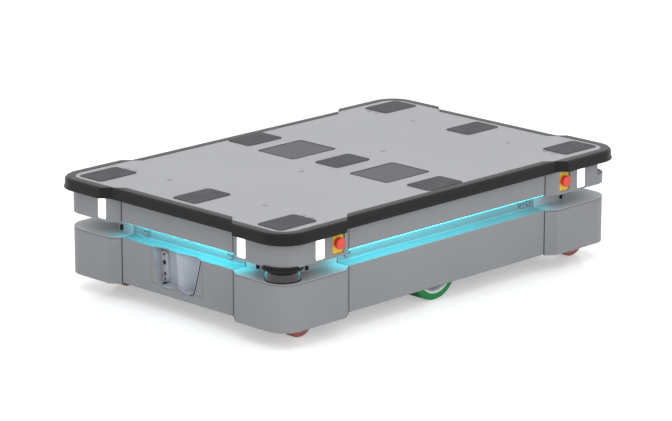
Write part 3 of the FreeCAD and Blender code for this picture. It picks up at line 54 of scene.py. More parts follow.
MM = 0.001
SIGNS = (1, -1)
MERGE = 0.001 * MM  # Vertices nearer than this are one.
SHARP = math.radians(32)  # Edges that turn more than this stay sharp.


def shade(red: float, green: float, blue: float) -> Colour:
    """Turn a screen colour into the linear values that shaders use.

    Args:
        red: Red from 0 to 255.
        green: Green from 0 to 255.
        blue: Blue from 0 to 255.

    Returns:
        The linear colour.
    """

    def linear(value: float) -> float:
        """Undo the screen's curve on one channel."""
        part = value / 255
        return part / 12.92 if part <= 0.04045 else ((part + 0.055) / 1.055) ** 2.4

    return (linear(red), linear(green), linear(blue))


class Named(Enum):
    """Options whose lower-case names stand in the names of nodes and bodies."""

    @property
    def label(self) -> str:
        """The option's name in node and body names."""
        return self.name.lower()


class Corner(Named):
    """The four corners, with the signs of X and Y there."""

    FRONT_LEFT = (1, 1)
    FRONT_RIGHT = (1, -1)
    REAR_LEFT = (-1, 1)
    REAR_RIGHT = (-1, -1)


class Side(Named):
    """The left and the right side, with the sign of Y there."""

    LEFT = 1
    RIGHT = -1


def opaque(colour: Colour) -> tuple[float, float, float, float]:
    """Add full opacity to a colour."""
    return (*colour, 1.0)


def toned(colour: Colour, factor: float) -> Colour:
    """Make a colour lighter or darker by a factor."""
    return tuple(part * factor for part in colour)


def add_node(tree: Any, kind: str, settings: dict[str, Any] | None = None, values: dict[Any, Any] | None = None) -> Any:
    """Add one node to a tree.

    Args:
        tree: The shader or geometry tree.
        kind: The node's type name.
        settings: Attributes, set before the sockets.
        values: Values, signals or sockets by input name or index; a colour may leave out its opacity.

    Returns:
        The node.
    """
    made = tree.nodes.new(kind)
    for key, value in (settings or {}).items():
        setattr(made, key, value)
    for key, value in (values or {}).items():
        entry = made.inputs[key]
        given = value.socket if isinstance(value, Signal) else value
        if isinstance(given, bpy.types.NodeSocket):
            tree.links.new(given, entry)
        elif entry.type == "RGBA" and len(given) == 3:
            entry.default_value = opaque(given)
        else:
            entry.default_value = given
    return made


class Signal:
    """A shader value that takes part in Python expressions."""

    def __init__(self, tree: bpy.types.NodeTree, socket: bpy.types.NodeSocket) -> None:
        """Wrap one output socket of a tree."""
        self.tree = tree
        self.socket = socket

    def _math(self, operation: str, *values: Any) -> "Signal":
        """Add a Math node on numbers or signals."""
        node = add_node(self.tree, "ShaderNodeMath", {"operation": operation}, dict(enumerate(values)))
        return Signal(self.tree, node.outputs[0])

    def __add__(self, other: Any) -> "Signal":
        """Sum."""
        return self._math("ADD", self, other)

    def __sub__(self, other: Any) -> "Signal":
        """Difference."""
        return self._math("SUBTRACT", self, other)

    def __rsub__(self, other: Any) -> "Signal":
        """Difference from a number."""
        return self._math("SUBTRACT", other, self)

    def __mul__(self, other: Any) -> "Signal":
        """Product."""
        return self._math("MULTIPLY", self, other)

    def __pow__(self, other: Any) -> "Signal":
        """Power."""
        return self._math("POWER", self, other)

    __radd__ = __add__
    __rmul__ = __mul__

    def magnitude(self) -> "Signal":
        """Absolute value."""
        return self._math("ABSOLUTE", self)

    def sine(self) -> "Signal":
        """Sine of an angle in radians."""
        return self._math("SINE", self)

    def least(self, other: Any) -> "Signal":
        """The smaller of two values."""
        return self._math("MINIMUM", self, other)

    def most(self, other: Any) -> "Signal":
        """The larger of two values."""
        return self._math("MAXIMUM", self, other)

    def step(self, low: float, high: float) -> "Signal":
        """Rise smoothly from 0 at low to 1 at high.

        Args:
            low: Value where the result is 0.
            high: Value where the result is 1; it may be below low for a fall.

        Returns:
            The smooth step.
        """
        span = {"Value": self, "From Min": min(low, high), "From Max": max(low, high)}
        node = add_node(self.tree, "ShaderNodeMapRange", {"interpolation_type": "SMOOTHSTEP"}, span)
        result = Signal(self.tree, node.outputs["Result"])
        return 1 - result if low > high else result


class Recipe:
    """One material while its nodes are being laid out."""

    def __init__(self, name: str) -> None:
        """Start an empty node material."""
        self.material = bpy.data.materials.new(name)
        self.material.use_nodes = True
        self.tree = self.material.node_tree
        self.tree.nodes.clear()

    def node(self, kind: str, settings: dict[str, Any] | None = None, values: dict[Any, Any] | None = None) -> Any:
        """Add one node to the material, as add_node does."""
        return add_node(self.tree, kind, settings, values)

    @cached_property
    def place(self) -> bpy.types.NodeSocket:
        """Object coordinates, in metres."""
        return self.node("ShaderNodeTexCoord").outputs["Object"]

    def split(self, vector: bpy.types.NodeSocket) -> tuple[Signal, Signal, Signal]:
        """The three parts of a vector."""
        parts = self.node("ShaderNodeSeparateXYZ", None, {0: vector})
        return tuple(Signal(self.tree, out) for out in parts.outputs)

    def axes(self, origin: Point = (0.0, 0.0, 0.0)) -> tuple[Signal, Signal, Signal]:
        """The three Object coordinates, counted from a point."""
        shift = self.node("ShaderNodeVectorMath", {"operation": "SUBTRACT"}, {0: self.place, 1: origin})
        return self.split(shift.outputs[0])

    def facing(self) -> tuple[Signal, Signal, Signal]:
        """The three parts of the surface normal."""
        return self.split(self.node("ShaderNodeTexCoord").outputs["Normal"])

    def reach(self, axle: Point) -> Signal:
        """Distance from an axle that lies along Y."""
        along, _, up = self.axes(axle)
        return (along * along + up * up) ** 0.5

    def grooves(self, radius: Signal, pitch: float) -> Signal:
        """Turned grooves round an axle, from 0 to 1."""
        return (radius * (math.tau / pitch)).sine() * 0.5 + 0.5

    def noise(self, scale: float, detail: float = 3.0, roughness: float = 0.5, stretch: Point | None = None) -> Signal:
        """Noise from 0 to 1.

        Args:
            scale: Features per metre.
            detail: Octaves.
            roughness: Weight of the fine octaves.
            stretch: Scale along each axis, for grain that runs one way.

        Returns:
            The noise value.
        """
        where: Any = self.place
        if stretch is not None:
            where = self.node("ShaderNodeMapping", None, {"Vector": self.place, "Scale": stretch}).outputs[0]
        values = {"Vector": where, "Scale": scale, "Detail": detail, "Roughness": roughness}
        return Signal(self.tree, self.node("ShaderNodeTexNoise", None, values).outputs["Fac"])

    def cells(self, scale: float) -> Signal:
        """Distance inside Voronoi cells."""
        made = self.node("ShaderNodeTexVoronoi", None, {"Vector": self.place, "Scale": scale})
        return Signal(self.tree, made.outputs["Distance"])

    def blend(self, factor: Signal, first: Any, second: Any) -> bpy.types.NodeSocket:
        """Mix two colours or colour sockets; factor 0 gives the first and 1 the second."""
        return self.node("ShaderNodeMix", {"data_type": "RGBA"}, {0: factor, 6: first, 7: second}).outputs[2]

    def bump(self, height: Signal, distance: float, strength: float) -> bpy.types.NodeSocket:
        """Turn a height from 0 to 1 into a surface normal, given its depth in metres and how much of it shows."""
        made = self.node("ShaderNodeBump", None, {"Height": height, "Distance": distance, "Strength": strength})
        return made.outputs["Normal"]

    def finish(self, values: dict[str, Any]) -> bpy.types.Material:
        """Close the material with a Principled shader.

        Args:
            values: Socket values by name.

        Returns:
            The material.
        """
        shader = self.node("ShaderNodeBsdfPrincipled", None, values)
        self.node("ShaderNodeOutputMaterial", None, {"Surface": shader.outputs[0]})
        return self.material


@dataclass(frozen=True)
class Finish:
    """A named finish; each kind says what its Principled shader's sockets get."""

    name: str

    def sockets(self, recipe: Recipe) -> dict[str, Any]:
        """Lay out the finish.

        Args:
            recipe: The material that receives the nodes.

        Returns:
            Socket values by name.
        """
        raise NotImplementedError

    def material(self) -> bpy.types.Material:
        """Build the finish as a material."""
        recipe = Recipe(self.name)
        return recipe.finish(self.sockets(recipe))


@dataclass(frozen=True)
class PowderCoat(Finish):
    """Baked powder paint on sheet metal: fine orange peel, slight clouding and dust low down, and where asked a painted
    shade on the rim below a height, so the top above it reads as lit.
    """

    colour: Colour
    roughness: float = 0.42
    peel: float = 0.00005
    clouding: float = 0.04
    dust: float = 0.0
    crown_at: float = 0.0
    rim_tone: float = 0.5
    rim_fade: float = 0.8 * MM
    dust_top: float = 0.11
    dust_full: float = 0.03

    def sockets(self, recipe: Recipe) -> dict[str, Any]:
        """Cloud the paint, paint shade on it below the given height so the top reads as lit, and dust it low down."""
        cloud = recipe.noise(3.1, 4.0, 0.55)
        speck = recipe.noise(900.0, 2.0)
        peel = recipe.noise(420.0, 3.0, 0.6)
        patches = (cloud * 0.85 + speck * 0.15).step(0.3, 0.7)
        colour = recipe.blend(patches, toned(self.colour, 1 - self.clouding), toned(self.colour, 1 + self.clouding))
        roughness = cloud * 0.08 + speck * 0.05 + (self.roughness - 0.065)
        # Painted shade: below the given height the colour is darkened by the tone factor, so the top above it reads as
        # lit.
        if self.crown_at > 0:
            crown = recipe.axes()[2].step(self.crown_at - self.rim_fade, self.crown_at)
            colour = recipe.blend(crown, toned(self.colour, self.rim_tone), colour)
        if self.dust > 0:
            low_down = recipe.axes()[2].step(self.dust_top, self.dust_full)
            film = low_down * recipe.noise(38.0, 5.0, 0.65).step(0.35, 0.75) * self.dust
            colour = recipe.blend(film, colour, tuple(min(1.0, c * 0.55 + 0.22) for c in self.colour))
            roughness = roughness + film * 0.25
        return {
            "Base Color": colour,
            "Roughness": roughness,
            "Specular IOR Level": 0.4,
            "Normal": recipe.bump(peel, self.peel, 0.6),
        }


@dataclass(frozen=True)
class DeckPaint(Finish):
    """Hard-wearing paint of the load plate, with rub marks of loads along its length."""

    colour: Colour
    worn: Colour
    roughness: float = 0.4

    def sockets(self, recipe: Recipe) -> dict[str, Any]:
        """Cloud the paint and lay faint rub marks on it."""
        cloud = recipe.noise(2.3, 4.0, 0.55)
        grain = recipe.noise(520.0, 3.0, 0.6)
        streak = recipe.noise(9.0, 5.0, 0.7, (0.35, 9.0, 9.0))
        rub = streak.step(0.62, 0.74) * cloud.step(0.4, 0.62) * 0.22
        base = recipe.blend(cloud.step(0.3, 0.7), toned(self.colour, 0.965), toned(self.colour, 1.025))
        return {
            "Base Color": recipe.blend(rub, base, self.worn),
            "Roughness": cloud * 0.1 + (self.roughness - 0.05) - rub * 0.2,
            "Specular IOR Level": 0.4,
            "Normal": recipe.bump(grain * 0.7 + streak * 0.3, 0.00005, 0.5),
        }


@dataclass(frozen=True)
class Rubber(Finish):
    """Moulded rubber with a fine grain, pale scuffs and a dusty bloom."""

    colour: Colour
    scuffed: Colour
    roughness: float = 0.66
    grain: float = 620.0
    depth: float = 0.00012
    scuffs: float = 0.35

    def sockets(self, recipe: Recipe) -> dict[str, Any]:
        """Bloom the rubber and scuff it."""
        bloom = recipe.noise(6.0, 4.0, 0.6)
        grain = recipe.noise(self.grain, 3.0, 0.65)
        mark = recipe.noise(34.0, 6.0, 0.7, (1.0, 1.0, 5.0))
        scuff = mark.step(0.6, 0.72) * bloom.step(0.42, 0.6) * self.scuffs
        soft = recipe.blend(bloom * 0.35, self.colour, self.scuffed)
        return {
            "Base Color": recipe.blend(scuff, soft, self.scuffed),
            "Roughness": grain * 0.12 + bloom * 0.08 + (self.roughness - 0.1),
            "Specular IOR Level": 0.32,
            "Normal": recipe.bump(grain, self.depth, 0.7),
        }


@dataclass(frozen=True)
class TreadedPad(Finish):
    """Anti-slip rubber pad with a fine raised weave of small lozenges."""

    colour: Colour
    worn: Colour
    pitch: float = 3.5 * MM

    def sockets(self, recipe: Recipe) -> dict[str, Any]:
        """Raise lozenges on what faces upwards."""
        along, across, _ = recipe.axes()
        turn = math.tau / self.pitch
        lozenge = ((along + across) * turn).sine() * ((along - across) * turn).sine()
        relief = lozenge.magnitude().step(0.1, 0.75) * recipe.facing()[2].step(0.7, 0.95)
        bloom = recipe.noise(22.0, 5.0, 0.65)
        return {
            "Base Color": recipe.blend(bloom.step(0.35, 0.75) * 0.55 + relief * 0.2, self.colour, self.worn),
            "Roughness": bloom * 0.12 + 0.62,
            "Specular IOR Level": 0.35,
            "Normal": recipe.bump(relief * 0.8 + recipe.noise(900.0) * 0.2, 0.00025, 0.6),
        }


@dataclass(frozen=True)
class Moulding(Finish):
    """Moulded plastic with a spark-eroded grain."""

    colour: Colour
    roughness: float = 0.5
    grain: float = 1100.0
    depth: float = 0.00006
    coat: float = 0.0

    def base(self, recipe: Recipe) -> Any:
        """Colour of the clean plastic."""
        return self.colour

    def sockets(self, recipe: Recipe) -> dict[str, Any]:
        """Grain the plastic and cloud it a little."""
        grain = recipe.cells(self.grain)
        cloud = recipe.noise(14.0, 4.0, 0.6)
        return {
            "Base Color": recipe.blend(cloud.step(0.3, 0.7) * 0.07, self.base(recipe), (0.0, 0.0, 0.0)),
            "Roughness": cloud * 0.1 + grain * 0.05 + (self.roughness - 0.07),
            "Coat Weight": self.coat,
            "Coat Roughness": 0.08,
            "Normal": recipe.bump(grain, self.depth, 0.5),
        }


@dataclass(frozen=True)
class LinedMoulding(Moulding):
    """Moulding whose recess behind the front face is painted paler and bluer than the face, a painted light for the
    strips' light falling into the recess.
    """

    lining: Colour = (1.0, 1.0, 1.0)
    face_at: float = 628.4 * MM
    fade: float = 1 * MM

    def base(self, recipe: Recipe) -> Any:
        """Change from the recess's painted light to the face's colour at the depth of the face."""
        return recipe.blend(recipe.axes()[0].step(self.face_at - self.fade, self.face_at), self.lining, self.colour)


@dataclass(frozen=True)
class BareMetal(Finish):
    """Plated or machined metal with fine brushing and handling marks."""

    colour: Colour
    roughness: float = 0.32
    brushing: Point = (1.0, 1.0, 26.0)
    spots: float = 0.12

    def sockets(self, recipe: Recipe) -> dict[str, Any]:
        """Brush the metal and dull it in patches."""
        lines = recipe.noise(150.0, 4.0, 0.7, self.brushing)
        cloud = recipe.noise(26.0, 5.0, 0.65)
        return {
            "Base Color": recipe.blend(cloud.step(0.42, 0.72), self.colour, toned(self.colour, 1 - 2.2 * self.spots)),
            "Roughness": lines * 0.16 + cloud * 0.14 + (self.roughness - 0.13),
            "Metallic": 1.0,
            "Normal": recipe.bump(lines, 0.00003, 0.5),
        }


@dataclass(frozen=True)
class Casting(Finish):
    """Painted iron casting with a sandy skin and rubbed edges."""

    colour: Colour
    roughness: float = 0.5

    def sockets(self, recipe: Recipe) -> dict[str, Any]:
        """Roughen the skin and lay a film of dirt on it."""
        sand = recipe.noise(330.0, 5.0, 0.7)
        film = recipe.noise(17.0, 5.0, 0.65).step(0.45, 0.72) * 0.4
        return {
            "Base Color": recipe.blend(film, self.colour, shade(96, 92, 86)),
            "Roughness": sand * 0.2 + film * 0.2 + (self.roughness - 0.1),
            "Specular IOR Level": 0.4,
            "Normal": recipe.bump(sand * 0.7 + recipe.cells(240.0) * 0.3, 0.0004, 0.6),
        }


@dataclass(frozen=True)
class RollingTyre(Finish):
    """Cast polyurethane on a wheel: polished tread, grey dust on it, cleaner flanks and a pale core."""

    axle: Point
    tread_radius: float
    colour: Colour
    dusty: Colour
    core_radius: float = 0.0
    core: Colour = (0.8, 0.8, 0.8)
    core_blur: float = 0.3 * MM
    pitch: float = 1.1 * MM

    def sockets(self, recipe: Recipe) -> dict[str, Any]:
        """Shade the tyre by the distance from its axle."""
        radius = recipe.reach(self.axle)
        tread = radius.step(self.tread_radius - 4 * MM, self.tread_radius - 1.2 * MM)
        dust = recipe.noise(95.0, 6.0, 0.7)
        rub = recipe.noise(60.0, 4.0, 0.6, (1.0, 9.0, 1.0))
        dirty = tread * (dust.step(0.3, 0.65) * 0.55 + 0.12) + dust.step(0.6, 0.8) * 0.12
        colour = recipe.blend(dirty.least(1.0), self.colour, self.dusty)
        if self.core_radius > 0:
            rim = radius.step(self.core_radius + self.core_blur, self.core_radius - self.core_blur)
            colour = recipe.blend(rim, colour, self.core)
        return {
            "Base Color": colour,
            "Roughness": dust * 0.2 + tread * 0.15 + 0.3,
            "Specular IOR Level": 0.45,
            "Normal": recipe.bump(recipe.grooves(radius, self.pitch) * 0.35 + rub * tread * 0.65, 0.0001, 0.5),
        }


@dataclass(frozen=True)
class PaintedRim(Finish):
    """White drive rim with a grey dished disc, shaded by the distance from its axle."""

    axle: Point
    rim: Colour
    disc: Colour
    disc_radius: float
    disc_blur: float = 0.5 * MM
    pitch: float = 0.9 * MM

    def sockets(self, recipe: Recipe) -> dict[str, Any]:
        """Turn grooves into the disc and dust it."""
        radius = recipe.reach(self.axle)
        dust = recipe.noise(70.0, 6.0, 0.7)
        inner = radius.step(self.disc_radius + self.disc_blur, self.disc_radius - self.disc_blur)
        base = recipe.blend(inner, self.rim, self.disc)
        return {
            "Base Color": recipe.blend(dust.step(0.5, 0.75) * 0.25, base, shade(120, 116, 110)),
            "Roughness": dust * 0.2 + 0.32,
            "Normal": recipe.bump(recipe.grooves(radius, self.pitch) * inner, 0.00005, 0.5),
        }


@dataclass(frozen=True)
class Glow(Finish):
    """Lit diffuser of white or coloured plastic, with a faint cloud in it."""

    colour: Colour
    strength: float
    depth: float = 0.25

    def level(self, recipe: Recipe) -> Signal:
        """How bright each place is, from 0 to 1."""
        return recipe.noise(30.0, 3.0) * 0.3 + 0.7

    def sockets(self, recipe: Recipe) -> dict[str, Any]:
        """Light the plastic by its level."""
        lit = recipe.blend(self.level(recipe), toned(self.colour, 1 - self.depth), self.colour)
        return {
            "Base Color": lit,
            "Roughness": recipe.noise(90.0, 3.0) * 0.1 + 0.25,
            "Emission Color": lit,
            "Emission Strength": self.strength,
        }


@dataclass(frozen=True)
class StripGlow(Glow):
    """Status strip that grows brighter along its length, towards the front and the left."""

    end_x: float = 600 * MM
    end_rise: tuple[float, float] = (-320 * MM, 200 * MM)
    side_rise: tuple[float, float] = (-648 * MM, 360 * MM)
    side_share: float = 0.78
    side_seam: tuple[float, float] = (392 * MM, 396 * MM)
    past_seam: float = 1.2

    def level(self, recipe: Recipe) -> Signal:
        """Rise along Y on the end strips and along X on the side strips, more so past the seam."""
        along, across, _ = recipe.axes()
        on_end = along.magnitude().step(self.end_x - 2 * MM, self.end_x)
        past_seam = along.step(*self.side_seam) * self.past_seam + 1
        on_side = along.step(*self.side_rise) * past_seam * self.side_share
        return across.step(*self.end_rise) * on_end + on_side * (1 - on_end)


@dataclass(frozen=True)
class DarkOptic(Finish):
    """Dark polished window or lens, whose colour turns to the paler film colour where the glass is seen at a grazing
    angle: a painted sheen.
    """

    colour: Colour
    film: Colour
    roughness: float = 0.06

    def sockets(self, recipe: Recipe) -> dict[str, Any]:
        """Paint a sheen on the glass where it is seen at a grazing angle, and smear it a little."""
        # Painted sheen: the colour turns to the film colour towards grazing angles, as a reflection would.
        rim = Signal(recipe.tree, recipe.node("ShaderNodeLayerWeight", None, {"Blend": 0.35}).outputs["Facing"])
        smear = recipe.noise(45.0, 5.0, 0.65)
        return {
            "Base Color": recipe.blend(rim.step(0.25, 0.95), self.colour, self.film),
            "Roughness": smear.step(0.45, 0.8) * 0.12 + self.roughness,
            "Coat Weight": 1.0,
            "Coat Roughness": 0.03,
            "Normal": recipe.bump(smear, 0.00002, 0.3),
        }


def stood(name: str, data: Any, place: Point = (0.0, 0.0, 0.0), aim: Point | None = None) -> bpy.types.Object:
    """Put an object into the scene.

    Args:
        name: Its name.
        data: Its mesh, lamp or camera.
        place: Where it stands, if it looks at something.
        aim: What it looks at.

    Returns:
        The object.
    """
    made = bpy.data.objects.new(name, data)
    bpy.context.scene.collection.objects.link(made)
    if aim is not None:
        made.location = place
        made.rotation_euler = (Vector(aim) - Vector(place)).to_track_quat("-Z", "Y").to_euler()
    return made


class Bench:
    """Small mesh tools: making, placing and riding of plain-mesh pieces."""

    @staticmethod
    def piece(name: str, mesh: bpy.types.Mesh, material: bpy.types.Material, body: str, slot: str) -> bpy.types.Object:
        """Put a mesh into the scene as a piece that rides on a body.

        Args:
            name: The piece's name.
            mesh: Its mesh, with its place in it.
            material: Its finish.
            body: The body that it moves with.
            slot: The record's material slot; not used.

        Returns:
            The object.
        """
        made = stood(name, mesh)
        mesh.materials.clear()
        mesh.materials.append(material)
        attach(made, body)
        LOG.info("%s: %d faces", name, len(mesh.polygons))
        return made

    @staticmethod
    def mesh(name: str, fill: Fill, smooth: bool = True) -> bpy.types.Mesh:
        """Make a mesh from a function that fills a bmesh.

        Args:
            name: The mesh's name.
            fill: Adds the geometry.
            smooth: Shades it smooth, with sharp edges kept.

        Returns:
            The mesh.
        """
        work = bmesh.new()
        fill(work)
        bmesh.ops.remove_doubles(work, verts=work.verts, dist=MERGE)
        bmesh.ops.recalc_face_normals(work, faces=work.faces)
        for face in work.faces:
            face.smooth = smooth
        for edge in work.edges:
            if len(edge.link_faces) == 2 and edge.calc_face_angle(0.0) > SHARP:
                edge.smooth = False
        made = bpy.data.meshes.new(name)
        work.to_mesh(made)
        work.free()
        return made

    @staticmethod
    def row(work: bmesh.types.BMesh, points: Iterable[Point], place: Matrix = Matrix()) -> list[bmesh.types.BMVert]:
        """Add a row of vertices at local points."""
        return [work.verts.new(place @ Vector(point)) for point in points]

    @staticmethod
    def lathe(work: bmesh.types.BMesh, profile: Outline, place: Matrix, turns: int) -> None:
        """Turn a profile about the local Z axis.

        Args:
            work: The bmesh that receives the form.
            profile: Radius and height pairs.
            place: Where the form goes.
            turns: Faces round it.
        """
        rings = []
        for radius, height in profile:
            angles = [math.tau * i / turns for i in range(turns if radius > 0 else 1)]
            spots = [(radius * math.cos(angle), radius * math.sin(angle), height) for angle in angles]
            rings.append(Bench.row(work, spots, place))
        for low, high in zip(rings, rings[1:]):
            for i in range(turns):
                j = (i + 1) % turns
                corners = (low[i % len(low)], low[j % len(low)], high[j % len(high)], high[i % len(high)])
                unique = list(dict.fromkeys(corners))
                if len(unique) > 2:
                    work.faces.new(unique)

    @staticmethod
    def bands(work: bmesh.types.BMesh, loops: Sequence[Sequence[Any]], ends: Sequence[int] = ()) -> None:
        """Join loops of as many vertices by bands of faces, each to the next.

        Args:
            work: The bmesh that holds the vertices.
            loops: Closed loops of vertices.
            ends: Which loops are closed by a face.
        """
        for low, high in zip(loops, loops[1:]):
            for i in range(len(low)):
                j = (i + 1) % len(low)
                work.faces.new((low[i], low[j], high[j], high[i]))
        for end in ends:
            work.faces.new(loops[end])

    @staticmethod
    def slab(work: bmesh.types.BMesh, outline: Outline, low: float, high: float, place: Matrix = Matrix()) -> None:
        """Closed plate of a local outline between two local heights."""
        loops = [Bench.row(work, [(*pair, z) for pair in outline], place) for z in (low, high)]
        Bench.bands(work, loops, (0, 1))


def quarter(steps: int) -> list[float]:
    """Angles of a quarter turn, in equal steps."""
    return [math.pi / 2 * i / steps for i in range(steps + 1)]


def in_metres(line: Outline) -> list[Pair]:
    """Turn pairs of millimetres into metres."""
    return [(a * MM, b * MM) for a, b in line]


def rounded(half_a: float, half_b: float, radius: float, steps: int) -> list[Pair]:
    """Rectangle round the local origin, with rounded corners.

    Args:
        half_a: Half its first side.
        half_b: Half its second side.
        radius: Radius of its corners.
        steps: Straight pieces in each corner.

    Returns:
        Its points, in order.
    """
    points = []
    for turn, (sign_a, sign_b) in enumerate(((1, 1), (-1, 1), (-1, -1), (1, -1))):
        for part in quarter(steps):
            angle = math.pi / 2 * turn + part
            a = sign_a * (half_a - radius) + radius * math.cos(angle)
            points.append((a, sign_b * (half_b - radius) + radius * math.sin(angle)))
    return points


def standing(position: Point, sign: int, on_side: bool, lean: float = 0.0) -> Matrix:
    """Placement of a flat piece on an upright face: local X runs level, Y upwards and Z out of the face.

    Args:
        position: Where the local origin goes.
        sign: Which way the face looks along its axis.
        on_side: The face looks along Y instead of X.
        lean: Turn in the face's own plane, in degrees.

    Returns:
        The matrix.
    """
    level = Vector((-sign, 0, 0)) if on_side else Vector((0, sign, 0))
    out = Vector((0, sign, 0)) if on_side else Vector((sign, 0, 0))
    turn = Matrix((level, Vector((0, 0, 1)), out)).transposed().to_4x4()
    return Matrix.Translation(position) @ turn @ Matrix.Rotation(math.radians(lean), 4, "Z")


def corner_faces(end: Pair, side: Pair, middle: float) -> Iterator[Matrix]:
    """Placements that repeat on the two outer faces of every corner.

    Args:
        end: Plan place on the end face, at the front left corner.
        side: Plan place on the side face, at the front left corner.
        middle: Height of the local origin.

    Yields:
        The placement on each face.
    """
    for corner in Corner:
        sign_x, sign_y = corner.value
        yield standing((sign_x * end[0], sign_y * end[1], middle), sign_x, False)
        yield standing((sign_x * side[0], sign_y * side[1], middle), sign_y, True)


@dataclass(frozen=True)
class Fastener:
    """A screw or nut head in metres, with its socket's depth as a share of its height."""

    radius: float
    height: float
    socket: float
    sides: int
    sink: float = 0.6
    chamfer: float = 0.86
    crown: float = 0.12


class FastenerField:
    """Fasteners set at points by a Geometry Nodes tree, then turned into one plain mesh."""

    def __init__(self, name: str, fastener: Fastener, material: bpy.types.Material) -> None:
        """Build the tree for one kind of fastener.

        Args:
            name: The tree's name.
            fastener: Its head.
            material: Its finish.
        """
        self.fastener = fastener
        self.material = material
        self.tree = bpy.data.node_groups.new(name, "GeometryNodeTree")
        self._lay_out()

    def _node(self, kind: str, settings: dict[str, Any] | None = None, values: dict[Any, Any] | None = None) -> Any:
        """Add one node to the tree, as add_node does, and return its outputs."""
        return add_node(self.tree, kind, settings, values).outputs

    def _extrude(self, mesh: Any, top: Any, offset: Any) -> Any:
        """Extrude the top face by an offset and return the node's outputs."""
        values = {"Mesh": mesh, "Selection": top, "Offset Scale": offset}
        return self._node("GeometryNodeExtrudeMesh", {"mode": "FACES"}, values)

    def _lay_out(self) -> None:
        """Lay out the nodes: a head with a sunk socket, on each point, turned by a seeded amount."""
        face, node = self.tree.interface, self._node
        face.new_socket("Points", in_out="INPUT", socket_type="NodeSocketGeometry")
        for label in ("Head Radius", "Head Height", "Socket Share", "Socket Depth"):
            face.new_socket(label, in_out="INPUT", socket_type="NodeSocketFloat")
        for label in ("Sides", "Seed"):
            face.new_socket(label, in_out="INPUT", socket_type="NodeSocketInt")
        face.new_socket("Heads", in_out="OUTPUT", socket_type="NodeSocketGeometry")
        size = node("NodeGroupInput")
        head = node(
            "GeometryNodeMeshCylinder",
            {"fill_type": "NGON"},
            {"Vertices": size["Sides"], "Radius": size["Head Radius"], "Depth": size["Head Height"]},
        )
        lift = Signal(self.tree, size["Head Height"]) * self.fastener.crown
        down = Signal(self.tree, size["Socket Depth"]) * -1.0
        for share, offset in ((self.fastener.chamfer, lift), (size["Socket Share"], down)):
            rim = self._extrude(head["Mesh"], head["Top"], 0.0)
            values = {"Geometry": rim["Mesh"], "Selection": rim["Top"], "Scale": share}
            shrunk = node("GeometryNodeScaleElements", {"domain": "FACE"}, values)
            head = self._extrude(shrunk[0], rim["Top"], offset)
        way = node("GeometryNodeInputNamedAttribute", {"data_type": "FLOAT_VECTOR"}, {"Name": "way"})
        aim = node("FunctionNodeAlignRotationToVector", {"axis": "Z"}, {"Vector": way[0]})
        turns = {0: (0.0, 0.0, 0.0), 1: (0.0, 0.0, math.tau), "Seed": size["Seed"]}
        spin = node("FunctionNodeRandomValue", {"data_type": "FLOAT_VECTOR"}, turns)
        turn = node("FunctionNodeRotateRotation", {"rotation_space": "LOCAL"}, {0: aim[0], 1: spin[0]})
        values = {"Points": size["Points"], "Instance": head["Mesh"], "Rotation": turn[0]}
        placed = node("GeometryNodeInstanceOnPoints", None, values)
        real = node("GeometryNodeRealizeInstances", None, {0: placed[0]})
        flat = node("GeometryNodeSetShadeSmooth", None, {0: real[0], "Shade Smooth": False})
        dressed = node("GeometryNodeSetMaterial", None, {0: flat[0], "Material": self.material})
        node("NodeGroupOutput", None, {0: dressed[0]})

    def place(self, name: str, spots: Sequence[tuple[Point, Point]], body: str, slot: str, seed: int) -> None:
        """Set the fasteners on one body and make them a plain mesh.

        Args:
            name: The piece's name.
            spots: Position and direction pairs, in metres.
            body: The body that carries them.
            slot: The record's material slot.
            seed: Seed of their turn.
        """
        half = self.fastener.height / 2
        points = bpy.data.meshes.new(name + "_points")
        points.from_pydata([tuple(Vector(at) + Vector(way) * half) for at, way in spots], [], [])
        ways = points.attributes.new("way", "FLOAT_VECTOR", "POINT")
        for i, (_, way) in enumerate(spots):
            ways.data[i].vector = way
        holder = stood(name + "_points", points)
        modifier = holder.modifiers.new("fasteners", "NODES")
        modifier.node_group = self.tree
        sizes = {
            "Head Radius": self.fastener.radius,
            "Head Height": self.fastener.height,
            "Socket Share": self.fastener.socket / self.fastener.radius,
            "Socket Depth": self.fastener.height * self.fastener.sink,
            "Sides": self.fastener.sides,
            "Seed": seed,
        }
        for item in self.tree.interface.items_tree:
            if item.in_out == "INPUT" and item.name in sizes:
                modifier[item.identifier] = sizes[item.name]
        bpy.context.view_layer.update()
        seen = holder.evaluated_get(bpy.context.evaluated_depsgraph_get())
        mesh = bpy.data.meshes.new_from_object(seen)
        mesh.name = name
        bpy.data.objects.remove(holder)
        Bench.piece(name, mesh, self.material, body, slot)


class Paintbox:
    """All finishes of the robot, each made once."""

    def __init__(self) -> None:
        """Prepare an empty store."""
        self.made: dict[str, bpy.types.Material] = {}

    def get(self, finish: Finish) -> bpy.types.Material:
        """Return the material of a finish, making it at its first use."""
        if finish.name not in self.made:
            self.made[finish.name] = finish.material()
        return self.made[finish.name]

    def dress(self, finish: Finish, *nodes: str) -> None:
        """Give CAD nodes a finish.

        Args:
            finish: The finish.
            nodes: The nodes' names.
        """
        material = self.get(finish)
        for name in nodes:
            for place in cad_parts[name].material_slots:
                place.material = material
            LOG.info("%s wears %s", name, finish.name)


COVER = PowderCoat("cover_paint", shade(139, 140, 143), dust=0.25)
